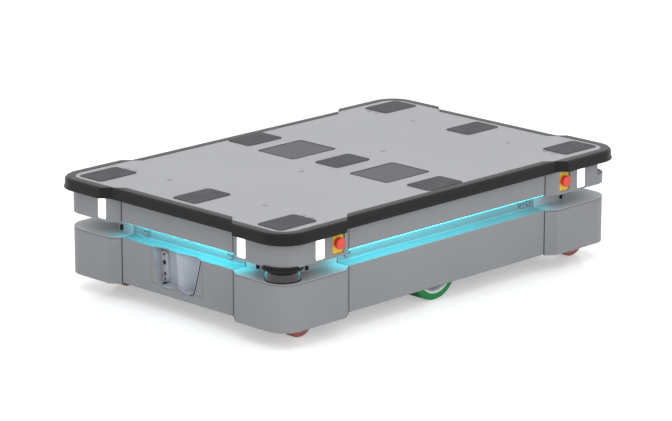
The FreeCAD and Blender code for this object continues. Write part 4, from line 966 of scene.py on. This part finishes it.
# Lid paint is paler than the covers, a painted light on the lid tops in the gap under the upper body; below 180.3 mm
# its rim gets a painted shade.
LID_PAINTED_LIGHT = PowderCoat("lid_paint", shade(182, 183, 186), crown_at=180.3 * MM)
HATCH = PowderCoat("hatch_paint", shade(79, 80, 83), roughness=0.5)
FRAME_PAINT = PowderCoat("frame_paint", shade(46, 47, 50), roughness=0.5, dust=0.6)
TRAY_PAINT = PowderCoat("tray_paint", shade(62, 63, 66), roughness=0.48, dust=0.7)
MOTOR_PAINT = PowderCoat("motor_paint", shade(40, 40, 43), roughness=0.4, dust=0.5)
WELL_PAINT = PowderCoat("well_paint", shade(24, 24, 26), roughness=0.55)
DECK = DeckPaint("deck_paint", shade(161, 162, 166), shade(142, 143, 147))
BUMPER = Rubber("bumper_rubber", shade(7, 7, 8), shade(20, 20, 22), roughness=0.36, scuffs=0.2)
SEAL = Rubber("seam_seal_rubber", shade(16, 16, 17), shade(34, 34, 36), roughness=0.7)
STOP_RUBBER = Rubber("end_stop_rubber", shade(22, 22, 24), shade(52, 52, 54))
PAD = TreadedPad("pad_rubber", shade(66, 67, 70), shade(90, 91, 94))
# The bay's recess is painted paler and bluer: painted light for the strips' light falling into the lobes.
BAY = LinedMoulding("bay_plastic", shade(141, 142, 145), 0.42, lining=shade(180, 186, 196))
# Near black: partly the case's own black and partly painted shade on the collar under the upper cover.
CASE = Moulding("scanner_case", shade(5, 5, 6), 0.75)
BATTERY = Moulding("battery_case", shade(38, 40, 44), 0.55, depth=0.0002)
FASCIA = Moulding("fascia_plastic", shade(26, 26, 28), 0.38)
STOP_RED = Moulding("stop_red", shade(236, 66, 46), 0.32, coat=0.3)
STOP_YELLOW = Moulding("stop_yellow", shade(246, 212, 62), 0.4)
POWER = Moulding("power_green", shade(40, 160, 90), 0.3, coat=0.4)
RESUME = Moulding("resume_blue", shade(40, 90, 190), 0.3, coat=0.4)
OPTIC = DarkOptic("scanner_optic", shade(9, 9, 10), shade(30, 30, 34), 0.03)
LENS = DarkOptic("lens_optic", shade(20, 22, 26), shade(50, 56, 74), 0.04)
# Pale grey: partly the bars' own paint and partly painted light on the cameras in the shaded bay.
CAMERA_CASE = PowderCoat("camera_case", shade(190, 192, 196), roughness=0.32)
HEATSINK = BareMetal("heatsink_metal", shade(142, 144, 148), 0.42, (1.0, 22.0, 1.0))
ZINC = BareMetal("zinc_plate", shade(186, 188, 192), 0.38, (1.0, 1.0, 12.0))
KEY_METAL = BareMetal("key_metal", shade(196, 196, 194), 0.26, (9.0, 1.0, 1.0), 0.06)
SCREW_METAL = BareMetal("screw_steel", shade(150, 152, 156), 0.36, (1.0, 1.0, 1.0))
DARK_SCREW = BareMetal("dark_screw", shade(58, 59, 62), 0.45, (1.0, 1.0, 1.0))
ARM = Casting("arm_casting", shade(54, 55, 58))
STRIP_GLOW = StripGlow("strip_glow", shade(60, 236, 252), 10.5, 0.7)
SIGNAL_GLOW = Glow("signal_glow", (1.0, 1.0, 1.0), 1.6, 0.05)


@dataclass
class Assembly:
    """A sub-assembly, which dresses its CAD nodes and adds pieces of its own."""

    paints: Paintbox

    def build(self) -> None:
        """Make and dress everything that belongs to it."""
        raise NotImplementedError

    def make(self, name: str, fill: Fill, finish: Finish, slot: str, smooth: bool = True) -> bpy.types.Object:
        """Make one piece on the chassis from what fills its mesh, with its finish."""
        return Bench.piece(name, Bench.mesh(name, fill, smooth), self.paints.get(finish), "chassis", slot)


@dataclass
class Bumper(Assembly):
    """Rubber bumper of eight mouldings: straight middles set back between the proud corners.

    The throat is the hollow between lip and shoulder, as depths and heights over the lip, in millimetres.
    """

    half_x: float = 675 * MM
    half_y: float = 455 * MM
    setback: float = 22 * MM
    bend_x: float = 420 * MM
    bend_y: float = 242 * MM
    radius: float = 82 * MM
    deep: float = 32 * MM
    low: float = 290 * MM
    top: float = 321 * MM
    lip: float = 2.5 * MM
    lip_tall: float = 5 * MM
    lip_bevel: float = 1 * MM
    throat: Outline = ((0.6, 0.0), (2.1, 1.4), (2.5, 3.0))
    edge: float = 10 * MM
    edge_steps: int = 8
    corner_steps: int = 20
    joint: float = 0.25 * MM
    plate_top: float = 319.95 * MM
    plate_low: float = 312.5 * MM
    step_under: float = 0.6 * MM
    step_grip: float = 4 * MM
    step_reach: float = 54 * MM

    def build(self) -> None:
        """Make the mouldings and the corners of the plate that lie on their joints."""
        made = self.make("bumper_mouldings", self._fill_bumper, BUMPER, "bumper_rubber")
        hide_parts("bumper")
        self.make("plate_corner_steps", self._fill_steps, DECK, "plate_paint")

    def section(self) -> list[Pair]:
        """The rubber's section.

        Returns:
            Depth behind the outer face and height of each point, from the foot at the plate round to the top.
        """
        foot, bevel = self.low + self.lip_tall, self.lip_bevel
        points = [(self.deep, self.low), (bevel, self.low), (0.0, self.low + bevel), (0.0, foot - bevel)]
        points += [(depth, foot + up) for depth, up in in_metres(self.throat)]
        for angle in quarter(self.edge_steps):
            inwards = self.edge * (1 - math.cos(angle))
            points.append((self.lip + inwards, self.top - self.edge * (1 - math.sin(angle))))
        return points + [(self.deep, self.top)]

    def corner_line(self, depth: float) -> list[Pair]:
        """Plan points of one depth along the front left corner, from joint to joint."""
        start = (self.half_x - depth, self.bend_y + self.setback - depth + self.joint)
        end = (self.bend_x + self.setback - depth + self.joint, self.half_y - depth)
        x, y, reach = self.half_x - self.radius, self.half_y - self.radius, self.radius - depth
        arc = [(x + reach * math.cos(turn), y + reach * math.sin(turn)) for turn in quarter(self.corner_steps)]
        return [start, *arc, end]

    def front_line(self, depth: float) -> list[Pair]:
        """Plan points of one depth along the front middle."""
        x, y = self.half_x - self.setback - depth, self.bend_y - depth - self.joint
        return [(x, -y), (x, y)]

    def left_line(self, depth: float) -> list[Pair]:
        """Plan points of one depth along the left middle."""
        x, y = self.bend_x - depth - self.joint, self.half_y - self.setback - depth
        return [(x, y), (-x, y)]

    def _fill_bumper(self, work: bmesh.types.BMesh) -> None:
        """Sweep the section along all eight mouldings."""
        runs = [(self.corner_line, *corner.value) for corner in Corner]
        runs += [(self.front_line, sign, 1) for sign in SIGNS] + [(self.left_line, 1, sign) for sign in SIGNS]
        for line, sign_x, sign_y in runs:
            rows = [[(sign_x * x, sign_y * y, z) for x, y in line(depth)] for depth, z in self.section()]
            Bench.bands(work, [Bench.row(work, station) for station in zip(*rows)], (0, -1))

    def _fill_steps(self, work: bmesh.types.BMesh) -> None:
        """Fill the plate's outline out to the slanted joints."""
        inner_x, inner_y = self.half_x - self.deep, self.half_y - self.deep
        bend_x, bend_y = self.bend_x - self.deep, self.bend_y - self.deep
        step_x, step_y = inner_x - self.setback, inner_y - self.setback
        out_x, out_y = inner_x + self.step_under, inner_y + self.step_under
        grip, slant = self.step_grip, self.setback + self.step_under
        far_x, far_y = self.bend_x + self.step_reach, self.bend_y + self.step_reach
        on_end = [(step_x - grip, bend_y - grip), (step_x, bend_y), (out_x, bend_y + slant), (out_x, far_y),
                  (step_x - grip, far_y)]
        on_side = [(bend_x - grip, step_y - grip), (bend_x, step_y), (bend_x + slant, out_y), (far_x, out_y),
                   (far_x, step_y - grip)]
        for corner in Corner:
            sign_x, sign_y = corner.value
            for outline in (on_end, on_side):
                Bench.slab(work, [(sign_x * x, sign_y * y) for x, y in outline], self.plate_low, self.plate_top)


@dataclass
class Deck(Assembly):
    """Load plate with its pads, hatches, wells, hatch seals and ringed holes.

    Sections of ring and plug are in millimetres: radius and height, and for the plug shares of its radius.
    """

    hatch_y: float = 182 * MM
    lid_half: Pair = (84 * MM, 70 * MM)
    lid_clip: float = 9 * MM
    seal_edges: Pair = (3.4 * MM, 0.3 * MM)
    seal_heights: Pair = (-0.1 * MM, 0.5 * MM)
    hole_x: float = 480 * MM
    hole_rows: tuple[float, ...] = (187 * MM, 330 * MM, 361 * MM)
    centre_x: float = 160 * MM
    ring_line: Outline = ((5.7, -2.0), (7.0, -2.0), (7.0, 0.2), (6.8, 0.4), (5.9, 0.4), (5.7, 0.2), (5.7, -2.0))
    plug_radius: float = 5.6
    plug_line: Outline = ((0.0, 0.1), (0.5, 0.15), (0.82, 0.5), (1.0, 0.4), (1.0, -2.0))
    hole_turns: int = 24
    top: float = 320 * MM

    def build(self) -> None:
        """Dress the deck's nodes and add the seals and rings."""
        self.paints.dress(DECK, "top_plate")
        self.paints.dress(PAD, "anti_slip_pads")
        self.paints.dress(WELL_PAINT, "interface_wells")
        self.paints.dress(HATCH, *("hatch_cover_" + side.label for side in Side))
        self.make("hatch_seals", self._fill_seals, SEAL, "bumper_rubber", False)
        self.make("hole_rings", self._fill_rings, DARK_SCREW, "plate_paint")
        self.make("hole_plugs", self._fill_plugs, DECK, "plate_paint")

    def lid_outline(self, grow: float) -> Outline:
        """Clipped rectangle of a hatch, a little larger or smaller."""
        a, b = self.lid_half[0] + grow, self.lid_half[1] + grow
        c = self.lid_clip
        return [(a, b - c), (a - c, b), (c - a, b), (-a, b - c), (-a, c - b), (c - a, -b), (a - c, -b), (a, c - b)]

    def _fill_seals(self, work: bmesh.types.BMesh) -> None:
        """Lay a rubber seal round each hatch."""
        outer, inner = (self.lid_outline(grow) for grow in self.seal_edges)
        low, high = (self.top + height for height in self.seal_heights)
        for side in Side:
            place = Matrix.Translation((0, side.value * self.hatch_y, 0))
            edges = ((inner, low), (outer, low), (outer, high), (inner, high), (inner, low))
            Bench.bands(work, [Bench.row(work, [(*pair, z) for pair in line], place) for line, z in edges])

    def _turn_at_holes(self, work: bmesh.types.BMesh, line: Outline) -> None:
        """Turn a section in millimetres at each threaded hole of the plate."""
        places = [(sx * self.hole_x, sy * y) for sx in SIGNS for sy in SIGNS for y in self.hole_rows]
        for x, y in places + [(sign * self.centre_x, 0.0) for sign in SIGNS]:
            Bench.lathe(work, in_metres(line), Matrix.Translation((x, y, self.top)), self.hole_turns)

    def _fill_rings(self, work: bmesh.types.BMesh) -> None:
        """Set the rim of a threaded insert round each hole."""
        self._turn_at_holes(work, self.ring_line)

    def _fill_plugs(self, work: bmesh.types.BMesh) -> None:
        """Close each hole with a dust plug that has a dished top."""
        self._turn_at_holes(work, [(share * self.plug_radius, up) for share, up in self.plug_line])


@dataclass
class Shell(Assembly):
    """Sheet covers of the upper and lower body, with latch tabs, their screws and the seam seals."""

    wall_x: float = 584 * MM
    wall_y: float = 366 * MM
    tab_thick: float = 4 * MM
    tab_half: float = 11 * MM
    tab_low: float = 190 * MM
    tab_high: float = 223.5 * MM
    tab_bevel: float = 0.6 * MM
    tab_round: float = 0.9
    end_tabs: tuple[float, ...] = (165.5 * MM, -165.5 * MM)
    side_tabs: tuple[float, ...] = (354 * MM, -339 * MM)
    hook_place: float = -370 * MM
    hook_half: float = 9 * MM
    screw_z: float = 201 * MM
    screw_spread: float = 5.6 * MM
    face_x: float = 629 * MM
    face_y: float = 409 * MM
    seam_x: float = 390 * MM
    seam_y: float = 220 * MM
    seam_spans: tuple[Pair, ...] = ((52 * MM, 178 * MM), (226 * MM, 289.5 * MM))
    seal_half: float = 1.7 * MM
    seal_neck: float = 1.1 * MM
    seal_deep: float = 14 * MM
    seal_proud: float = 0.4 * MM

    def build(self) -> None:
        """Dress the covers, hang the tabs, set their screws and lay the seals."""
        for level in ("upper", "lower"):
            self.paints.dress(COVER, *(f"{level}_corner_cover_{corner.label}" for corner in Corner))
            self.paints.dress(COVER, *(f"{level}_panel_{end}" for end in ("front", "rear", "left", "right")))
        self.paints.dress(LID_PAINTED_LIGHT, "lower_corner_lids")
        self.paints.dress(STOP_RUBBER, "wall_end_stops")
        self.make("latch_tabs", self._fill_tabs, COVER, "cover_paint")
        self.make("seam_seals", self._fill_seals, SEAL, "bumper_rubber")
        screws = FastenerField("latch_screw", Fastener(3.6 * MM, 1.6 * MM, 2.0 * MM, 20), self.paints.get(SCREW_METAL))
        screws.place("latch_screws", self.screw_spots(), "chassis", "cover_paint", 7)

    def tab_places(self) -> list[tuple[Pair, int, bool, float]]:
        """Foot of each tab on the wall, the way its face looks, and half its width."""
        places = []
        for sign in SIGNS:
            places += [((sign * self.wall_x, y), sign, False, self.tab_half) for y in self.end_tabs]
            places += [((x, sign * self.wall_y), sign, True, self.tab_half) for x in self.side_tabs]
            places.append(((self.hook_place, sign * self.wall_y), sign, True, self.hook_half))
        return places

    def _fill_tabs(self, work: bmesh.types.BMesh) -> None:
        """Hang the tabs from the upper panels, with rounded lower corners and a chamfered face."""
        middle, tall = (self.tab_high + self.tab_low) / 2, (self.tab_high - self.tab_low) / 2
        thick, bevel = self.tab_thick, self.tab_bevel
        for at, sign, on_side, half in self.tab_places():
            place = standing((*at, middle), sign, on_side)
            radius, loops = half * self.tab_round, []
            for grow, out in ((0.0, 0.0), (0.0, thick - bevel), (-bevel, thick)):
                square = [(math.copysign(half + grow, a), tall + grow) if b > tall - radius else (a, b)
                          for a, b in rounded(half + grow, tall + grow, radius + grow, 8)]
                loops.append(Bench.row(work, [(*pair, out) for pair in square], place))
            Bench.bands(work, loops, (-1,))

    def _fill_seals(self, work: bmesh.types.BMesh) -> None:
        """Press a rubber profile into each upright seam."""
        proud = self.seal_proud
        for low, high in self.seam_spans:
            tall = (high - low) / 2
            for place in corner_faces((self.face_x, self.seam_y), (self.seam_x, self.face_y), low + tall):
                Bench.slab(work, rounded(self.seal_neck, tall, proud, 2), -self.seal_deep, 0.0, place)
                Bench.slab(work, rounded(self.seal_half, tall, proud, 2), 0.0, proud, place)

    def screw_spots(self) -> list[tuple[Point, Point]]:
        """Two screws on each latch tab, and one on a hook.

        Returns:
            Position and direction of each screw.
        """
        spots: list[tuple[Point, Point]] = []
        for (x, y), sign, on_side, half in self.tab_places():
            out = sign * self.tab_thick
            for spread in (-self.screw_spread, self.screw_spread) if half == self.tab_half else (0.0,):
                if on_side:
                    spots.append(((x + spread, y + out, self.screw_z), (0, sign, 0)))
                else:
                    spots.append(((x + out, y + spread, self.screw_z), (sign, 0, 0)))
        return spots


@dataclass
class Lamps(Assembly):
    """Status light strips over the gap with their diffusers, and framed signal lights in the corners."""

    end_span: Pair = (604 * MM, 618 * MM)
    side_span: Pair = (385 * MM, 399 * MM)
    low: float = 219.6 * MM
    high: float = 223.6 * MM
    end_half: float = 250 * MM
    side_half: float = 424 * MM
    bar_round: float = 0.9
    cover_x: float = 651 * MM
    cover_y: float = 431 * MM
    window_x: float = 518 * MM
    window_y: float = 274 * MM
    window_low: float = 228.5 * MM
    window_high: float = 289.5 * MM
    window_half: float = 17 * MM
    lit_half: float = 15.2 * MM
    frame_deep: float = 2 * MM
    frame_proud: float = 0.5 * MM
    frame_round: float = 0.4 * MM

    def build(self) -> None:
        """Dress the lamps, hang the diffusers and frame the signal lights."""
        self.paints.dress(STRIP_GLOW, "status_light_strips")
        self.paints.dress(SIGNAL_GLOW, "signal_lights")
        self.make("strip_diffusers", self._fill_strips, STRIP_GLOW, "status_light")
        self.make("signal_frames", self._fill_frames, COVER, "cover_paint", False)

    def _fill_strips(self, work: bmesh.types.BMesh) -> None:
        """Hang a rounded diffuser bar under each upper panel."""
        middle, tall = (self.high + self.low) / 2, (self.high - self.low) / 2
        for along_x, span, half in ((False, self.end_span, self.end_half), (True, self.side_span, self.side_half)):
            line = rounded((span[1] - span[0]) / 2, tall, tall * self.bar_round, 3)
            for sign in SIGNS:
                centre, loops = sign * (span[0] + span[1]) / 2, []
                for end in (-half, half):
                    plan = [(end, centre + a) if along_x else (centre + a, end) for a, _ in line]
                    loops.append(Bench.row(work, [(*at, middle + b) for at, (_, b) in zip(plan, line)]))
                Bench.bands(work, loops, (0, 1))

    def _fill_frames(self, work: bmesh.types.BMesh) -> None:
        """Set two narrow upright bars on the edges of each signal light."""
        tall = (self.window_high - self.window_low) / 2
        bar = rounded((self.window_half - self.lit_half) / 2, tall, self.frame_round, 2)
        aside = (self.window_half + self.lit_half) / 2
        on_end, on_side = (self.cover_x, self.window_y), (self.window_x, self.cover_y)
        for face in corner_faces(on_end, on_side, self.window_low + tall):
            for way in SIGNS:
                place = face @ Matrix.Translation((way * aside, 0, 0))
                Bench.slab(work, bar, -self.frame_deep, self.frame_proud, place)


@dataclass
class Senses(Assembly):
    """Safety scanners with bowl-shaped windows, and the camera bay with its two leaning cameras.

    Lines of pairs are in millimetres: radius and height of the collar, growth and height of a camera's rim, depth
    and height of a lens's cup, share of the radius and height of its dome, and Y and Z of the bay's outer edge.
    """

    scanner_x: float = 600 * MM
    scanner_y: float = 376 * MM
    scanner_turns: int = 72
    bowl_low: float = 184.5 * MM
    bowl_high: float = 210.5 * MM
    bowl_foot: float = 48.2 * MM
    bowl_neck: float = 39 * MM
    bowl_wall: float = 3 * MM
    bowl_swell: float = 3.06 * MM
    bowl_steps: int = 14
    collar_line: Outline = ((36.0, 211.0), (51.0, 211.0), (54.0, 212.0), (55.0, 215.0), (55.0, 219.25), (53.5, 219.75),
                            (53.5, 221.25), (55.0, 221.75), (55.0, 226.0), (36.0, 226.0), (36.0, 211.0))
    camera_x: float = 600 * MM
    camera_y: float = 79.6 * MM
    camera_z: float = 122 * MM
    camera_half: Pair = (12.5 * MM, 43 * MM)
    camera_lean: float = 3.5
    camera_flat: float = 0.1 * MM
    camera_line: Outline = ((0.6, -17.0), (0.6, 0.0), (0.2, 0.9), (-0.9, 1.1), (-1.6, 0.7), (-1.9, 0.0))
    lens_places: Outline = ((33.5, 4.2), (11.3, 6.8), (-19.8, 4.6), (-35.2, 3.6))
    lens_turns: int = 24
    cup_line: Outline = ((1.2, 0.0), (1.0, 0.7), (0.3, 0.7), (0.0, 0.1))
    dome_line: Outline = ((1.0, 0.05), (0.8, 0.35), (0.45, 0.55), (0.0, 0.62))
    bay_face: float = 629 * MM
    edge_half: float = 1.1 * MM
    edge_deep: float = 2 * MM
    edge_proud: float = 0.7 * MM
    edge_line: Outline = ((94.8, 178.0), (92.6, 168.0), (70.4, 90.0), (66.8, 81.0), (60.5, 76.6), (52.0, 75.2))

    def build(self) -> None:
        """Dress scanners and bay, and make bowls, cameras, lenses and a dark strip of painted shade on the bay's edge.
        """
        self.paints.dress(CASE, "safety_scanners")
        self.paints.dress(BAY, "camera_bay")
        made = self.make("scanner_bowls", self._fill_bowls, OPTIC, "scanner_window")
        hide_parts("scanner_windows")
        self.make("scanner_collars", self._fill_collars, CASE, "scanner_case")
        made = self.make("camera_bars", self._fill_cameras, CAMERA_CASE, "camera_metal")
        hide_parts("depth_cameras")
        made = self.make("lens_domes", self._fill_lenses, LENS, "lens_glass")
        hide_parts("camera_lenses")
        # Painted shade: a dark strip on the left lobe's outer edge only.
        self.make("bay_edge_seal", self._fill_seal, SEAL, "bumper_rubber")

    def _turn_at_scanners(self, work: bmesh.types.BMesh, profile: Outline) -> None:
        """Turn a section about the upright axis of each scanner."""
        for sign in SIGNS:
            place = Matrix.Translation((sign * self.scanner_x, sign * self.scanner_y, 0))
            Bench.lathe(work, profile, place, self.scanner_turns)

    def _fill_bowls(self, work: bmesh.types.BMesh) -> None:
        """Turn both windows, swelling on their way up."""
        outer = []
        for i in range(self.bowl_steps + 1):
            t = i / self.bowl_steps
            radius = self.bowl_foot + (self.bowl_neck - self.bowl_foot) * t + self.bowl_swell * 4 * t * (1 - t)
            outer.append((radius, self.bowl_low + (self.bowl_high - self.bowl_low) * t))
        inner = [(radius - self.bowl_wall, z) for radius, z in reversed(outer)]
        self._turn_at_scanners(work, outer + inner + outer[:1])

    def _fill_collars(self, work: bmesh.types.BMesh) -> None:
        """Turn the collar above each bowl, with a groove round it."""
        self._turn_at_scanners(work, in_metres(self.collar_line))

    def camera_place(self, side: Side) -> Matrix:
        """Placement of one camera's face, leaning out at its top."""
        middle = (self.camera_x, side.value * self.camera_y, self.camera_z)
        return standing(middle, 1, False, -side.value * self.camera_lean)

    def lens_spots(self) -> Iterator[tuple[Matrix, float]]:
        """Placement of each lens and its radius in millimetres."""
        for side in Side:
            for up, radius in self.lens_places:
                yield self.camera_place(side) @ Matrix.Translation((0, up * MM, 0)), radius

    def _fill_cameras(self, work: bmesh.types.BMesh) -> None:
        """Make each bar with a proud rim round its face and a cup for each lens."""
        for side in Side:
            loops = []
            for grow, out in in_metres(self.camera_line):
                a, b = (half + grow for half in self.camera_half)
                line = rounded(a, b, a - self.camera_flat, 10)
                loops.append(Bench.row(work, [(*pair, out) for pair in line], self.camera_place(side)))
            Bench.bands(work, loops, (0, -1))
        for place, radius in self.lens_spots():
            cup = in_metres([(radius + more, up) for more, up in self.cup_line])
            Bench.lathe(work, cup, place, self.lens_turns)

    def _fill_lenses(self, work: bmesh.types.BMesh) -> None:
        """Set a shallow dome of glass in each cup."""
        for place, radius in self.lens_spots():
            dome = in_metres([(radius * share, up) for share, up in self.dome_line])
            Bench.lathe(work, dome, place, self.lens_turns)

    def _fill_seal(self, work: bmesh.types.BMesh) -> None:
        """Run a thin dark rubber strip down the outer edge of the left lobe and round its foot, a painted shade along
        that edge; the right lobe has none.
        """
        loops = []
        line = [Vector(pair) for pair in in_metres(self.edge_line)]
        low, high = self.bay_face - self.edge_deep, self.bay_face + self.edge_proud
        for i, at in enumerate(line):
            way = (line[min(i + 1, len(line) - 1)] - line[max(i - 1, 0)]).normalized()
            side = Vector((-way.y, way.x)) * self.edge_half
            corners = ((at + side, low), (at + side, high), (at - side, high), (at - side, low))
            loops.append(Bench.row(work, [(out, *spot) for spot, out in corners]))
        Bench.bands(work, loops, (0, -1))


@dataclass
class Controls(Assembly):
    """Emergency stops and the panel in the rear left corner."""

    def build(self) -> None:
        """Dress stops, panel, buttons and key."""
        self.paints.dress(STOP_YELLOW, "stop_switch_plates")
        self.paints.dress(STOP_RED, *("emergency_stop_" + corner.label for corner in Corner))
        self.paints.dress(FASCIA, "control_panel")
        self.paints.dress(POWER, "power_button")
        self.paints.dress(RESUME, "resume_button")
        self.paints.dress(KEY_METAL, "key_switch")


@dataclass
class RunningGear(Assembly):
    """Drive wheels, bogie arms, motors and swivel casters."""

    drive_x: float = 17 * MM
    drive_z: float = 85 * MM
    drive_y: float = 335 * MM
    drive_radius: float = 85 * MM
    disc_radius: float = 58 * MM
    bolts: int = 6
    bolt_circle: float = 31 * MM
    bolt_y: float = 361 * MM
    caster_radius: float = 50 * MM
    caster_core: float = 36 * MM
    front_axle_x: float = 515 * MM
    rear_axle_x: float = -575 * MM
    caster_y: float = 336.5 * MM
    axle_end: float = 28.5 * MM

    def build(self) -> None:
        """Dress the running gear and add its bolts and nuts."""
        axle = (self.drive_x, self.drive_y, self.drive_z)
        tyre = RollingTyre("drive_tyre", axle, self.drive_radius, shade(14, 138, 66), shade(84, 136, 104))
        rim = PaintedRim("drive_rim", axle, shade(236, 237, 239), shade(150, 152, 156), self.disc_radius)
        bolts = FastenerField("hub_bolt", Fastener(5.2 * MM, 4 * MM, 2.6 * MM, 24), self.paints.get(SCREW_METAL))
        nuts = FastenerField("axle_nut", Fastener(8.5 * MM, 5 * MM, 3.6 * MM, 6, 0.2), self.paints.get(ZINC))
        for side in Side:
            self.paints.dress(tyre, "drive_tyre_" + side.label)
            self.paints.dress(rim, "drive_hub_" + side.label)
            self.paints.dress(ARM, "bogie_arm_" + side.label)
            self.paints.dress(MOTOR_PAINT, "gear_motor_" + side.label)
            bolts.place("hub_bolts_" + side.label, self.bolt_spots(side), "drive_wheel_" + side.label, "fork_steel", 3)
        for corner in Corner:
            x = self.front_axle_x if corner.value[0] > 0 else self.rear_axle_x
            middle = (x, corner.value[1] * self.caster_y, self.caster_radius)
            wheel = RollingTyre("caster_" + corner.label, middle, self.caster_radius, shade(196, 120, 112),
                                shade(150, 130, 126), self.caster_core, shade(228, 228, 228))
            self.paints.dress(wheel, "caster_wheel_" + corner.label)
            self.paints.dress(ZINC, "caster_fork_" + corner.label)
            spots = [((x, middle[1] + way * self.axle_end, middle[2]), (0, way, 0)) for way in SIGNS]
            nuts.place("axle_nuts_" + corner.label, spots, "fork_" + corner.label, "fork_steel", 5)

    def bolt_spots(self, side: Side) -> list[tuple[Point, Point]]:
        """Position and direction of the bolts in the holes of one side's hub."""
        spots = []
        for turn in (math.tau * i / self.bolts for i in range(self.bolts)):
            x = self.drive_x + self.bolt_circle * math.cos(turn)
            z = self.drive_z + self.bolt_circle * math.sin(turn)
            spots.append(((x, side.value * self.bolt_y, z), (0, side.value, 0)))
        return spots


@dataclass
class Chassis(Assembly):
    """Frame, tray, battery and electronics."""

    tray_end: float = 600 * MM
    tray_short: float = 32 * MM
    tray_merge: float = 0.01 * MM

    def build(self) -> None:
        """Dress the chassis and shorten the tray's ends, which stay out of sight behind the panels."""
        self.paints.dress(FRAME_PAINT, "chassis_frame")
        self.paints.dress(BATTERY, "battery_pack")
        self.paints.dress(HEATSINK, "control_electronics")
        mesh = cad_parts["belly_tray"].data.copy()
        mesh.name = "short_tray"
        work = bmesh.new()
        work.from_mesh(mesh)
        bmesh.ops.remove_doubles(work, verts=work.verts, dist=self.tray_merge)
        for vert in work.verts:
            if abs(vert.co.x) > self.tray_end:
                vert.co.x -= math.copysign(self.tray_short, vert.co.x)
        work.to_mesh(mesh)
        work.free()
        made = Bench.piece("short_tray", mesh, self.paints.get(TRAY_PAINT), "chassis", "tray_paint")
        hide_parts("belly_tray")


@dataclass
class Studio:
    """Camera, pale floor, soft lights and white surroundings."""

    camera_from: Point = (6.1792, 6.1136, 2.5531)
    camera_to: Point = (-0.056518, -0.081862, 0.150)
    lens: float = 172.4
    sensor: float = 36.0
    sight: float = 200.0
    floor_half: float = 30.0
    floor_lift: float = 0.5
    sky: float = 0.92

    def build(self) -> None:
        """Set up the whole studio."""
        self._camera()
        self._floor()
        self._world()
        self._lamp("overhead_softbox", (0.3, 0.4, 3.2), (0, 0, 0), 4.5, 20.0)
        self._lamp("left_softbox", (1.6, 4.2, 2.3), (0, 0, 0.15), 1.6, 30.0)
        bpy.context.scene.view_settings.view_transform = "Standard"

    def _camera(self) -> None:
        """Stand the camera at the photograph's place, looking at the robot."""
        data = bpy.data.cameras.new("photo_camera")
        data.lens = self.lens
        data.sensor_width = self.sensor
        data.clip_end = self.sight
        bpy.context.scene.camera = stood("photo_camera", data, self.camera_from, self.camera_to)

    def _fill_floor(self, work: bmesh.types.BMesh) -> None:
        """Add one large square."""
        near, far = -self.floor_half, self.floor_half
        work.faces.new(Bench.row(work, [(near, near, 0.0), (far, near, 0.0), (far, far, 0.0), (near, far, 0.0)]))

    def _floor(self) -> None:
        """Lay a pale floor that reads white in full light and keeps the robot's shadow."""
        made = stood("floor", Bench.mesh("floor", self._fill_floor, False))
        recipe = Recipe("floor_white")
        seen = Signal(recipe.tree, recipe.node("ShaderNodeLightPath").outputs["Is Camera Ray"])
        plain = recipe.node("ShaderNodeBsdfDiffuse", None, {"Color": (0.9, 0.9, 0.905)})
        lift = recipe.node("ShaderNodeEmission", None, {"Strength": seen * self.floor_lift})
        both = recipe.node("ShaderNodeAddShader", None, {0: plain.outputs[0], 1: lift.outputs[0]})
        gloss = recipe.node("ShaderNodeBsdfGlossy", None, {"Roughness": 0.16})
        mirror = recipe.node("ShaderNodeFresnel", None, {"IOR": 1.3}).outputs[0]
        laid = recipe.node("ShaderNodeMixShader", None, {0: mirror, 1: both.outputs[0], 2: gloss.outputs[0]})
        recipe.node("ShaderNodeOutputMaterial", None, {"Surface": laid.outputs[0]})
        made.data.materials.append(recipe.material)

    def _world(self) -> None:
        """Light from all round, seen as plain white by the camera and in reflections."""
        world = bpy.data.worlds.new("studio_white")
        world.use_nodes = True
        tree = world.node_tree
        tree.nodes.clear()
        paths = add_node(tree, "ShaderNodeLightPath").outputs
        shown = Signal(tree, paths["Is Camera Ray"])
        for ray in ("Is Glossy Ray", "Is Transmission Ray"):
            shown = shown.most(Signal(tree, paths[ray]))
        strength = shown * (1 - self.sky) + self.sky
        light = add_node(tree, "ShaderNodeBackground", None, {"Color": (1.0, 1.0, 1.0), "Strength": strength})
        add_node(tree, "ShaderNodeOutputWorld", None, {"Surface": light.outputs[0]})
        bpy.context.scene.world = world

    def _lamp(self, name: str, place: Point, aim: Point, size: float, power: float) -> None:
        """Hang one square softbox.

        Args:
            name: The lamp's name.
            place: Where it hangs.
            aim: What it looks at.
            size: Its edge.
            power: Its power in watts.
        """
        data = bpy.data.lights.new(name, "AREA")
        data.shape = "SQUARE"
        data.size = size
        data.energy = power
        stood(name, data, place, aim).visible_glossy = False


def main() -> None:
    """Build the studio and every sub-assembly, in order."""
    logging.basicConfig(level=logging.INFO, format="%(name)s %(message)s")
    Studio().build()
    paints = Paintbox()
    for part in (Bumper, Deck, Shell, Lamps, Senses, Controls, RunningGear, Chassis):
        LOG.info("building %s", part.__name__)
        part(paints).build()


if __name__ == "__main__":
    main()
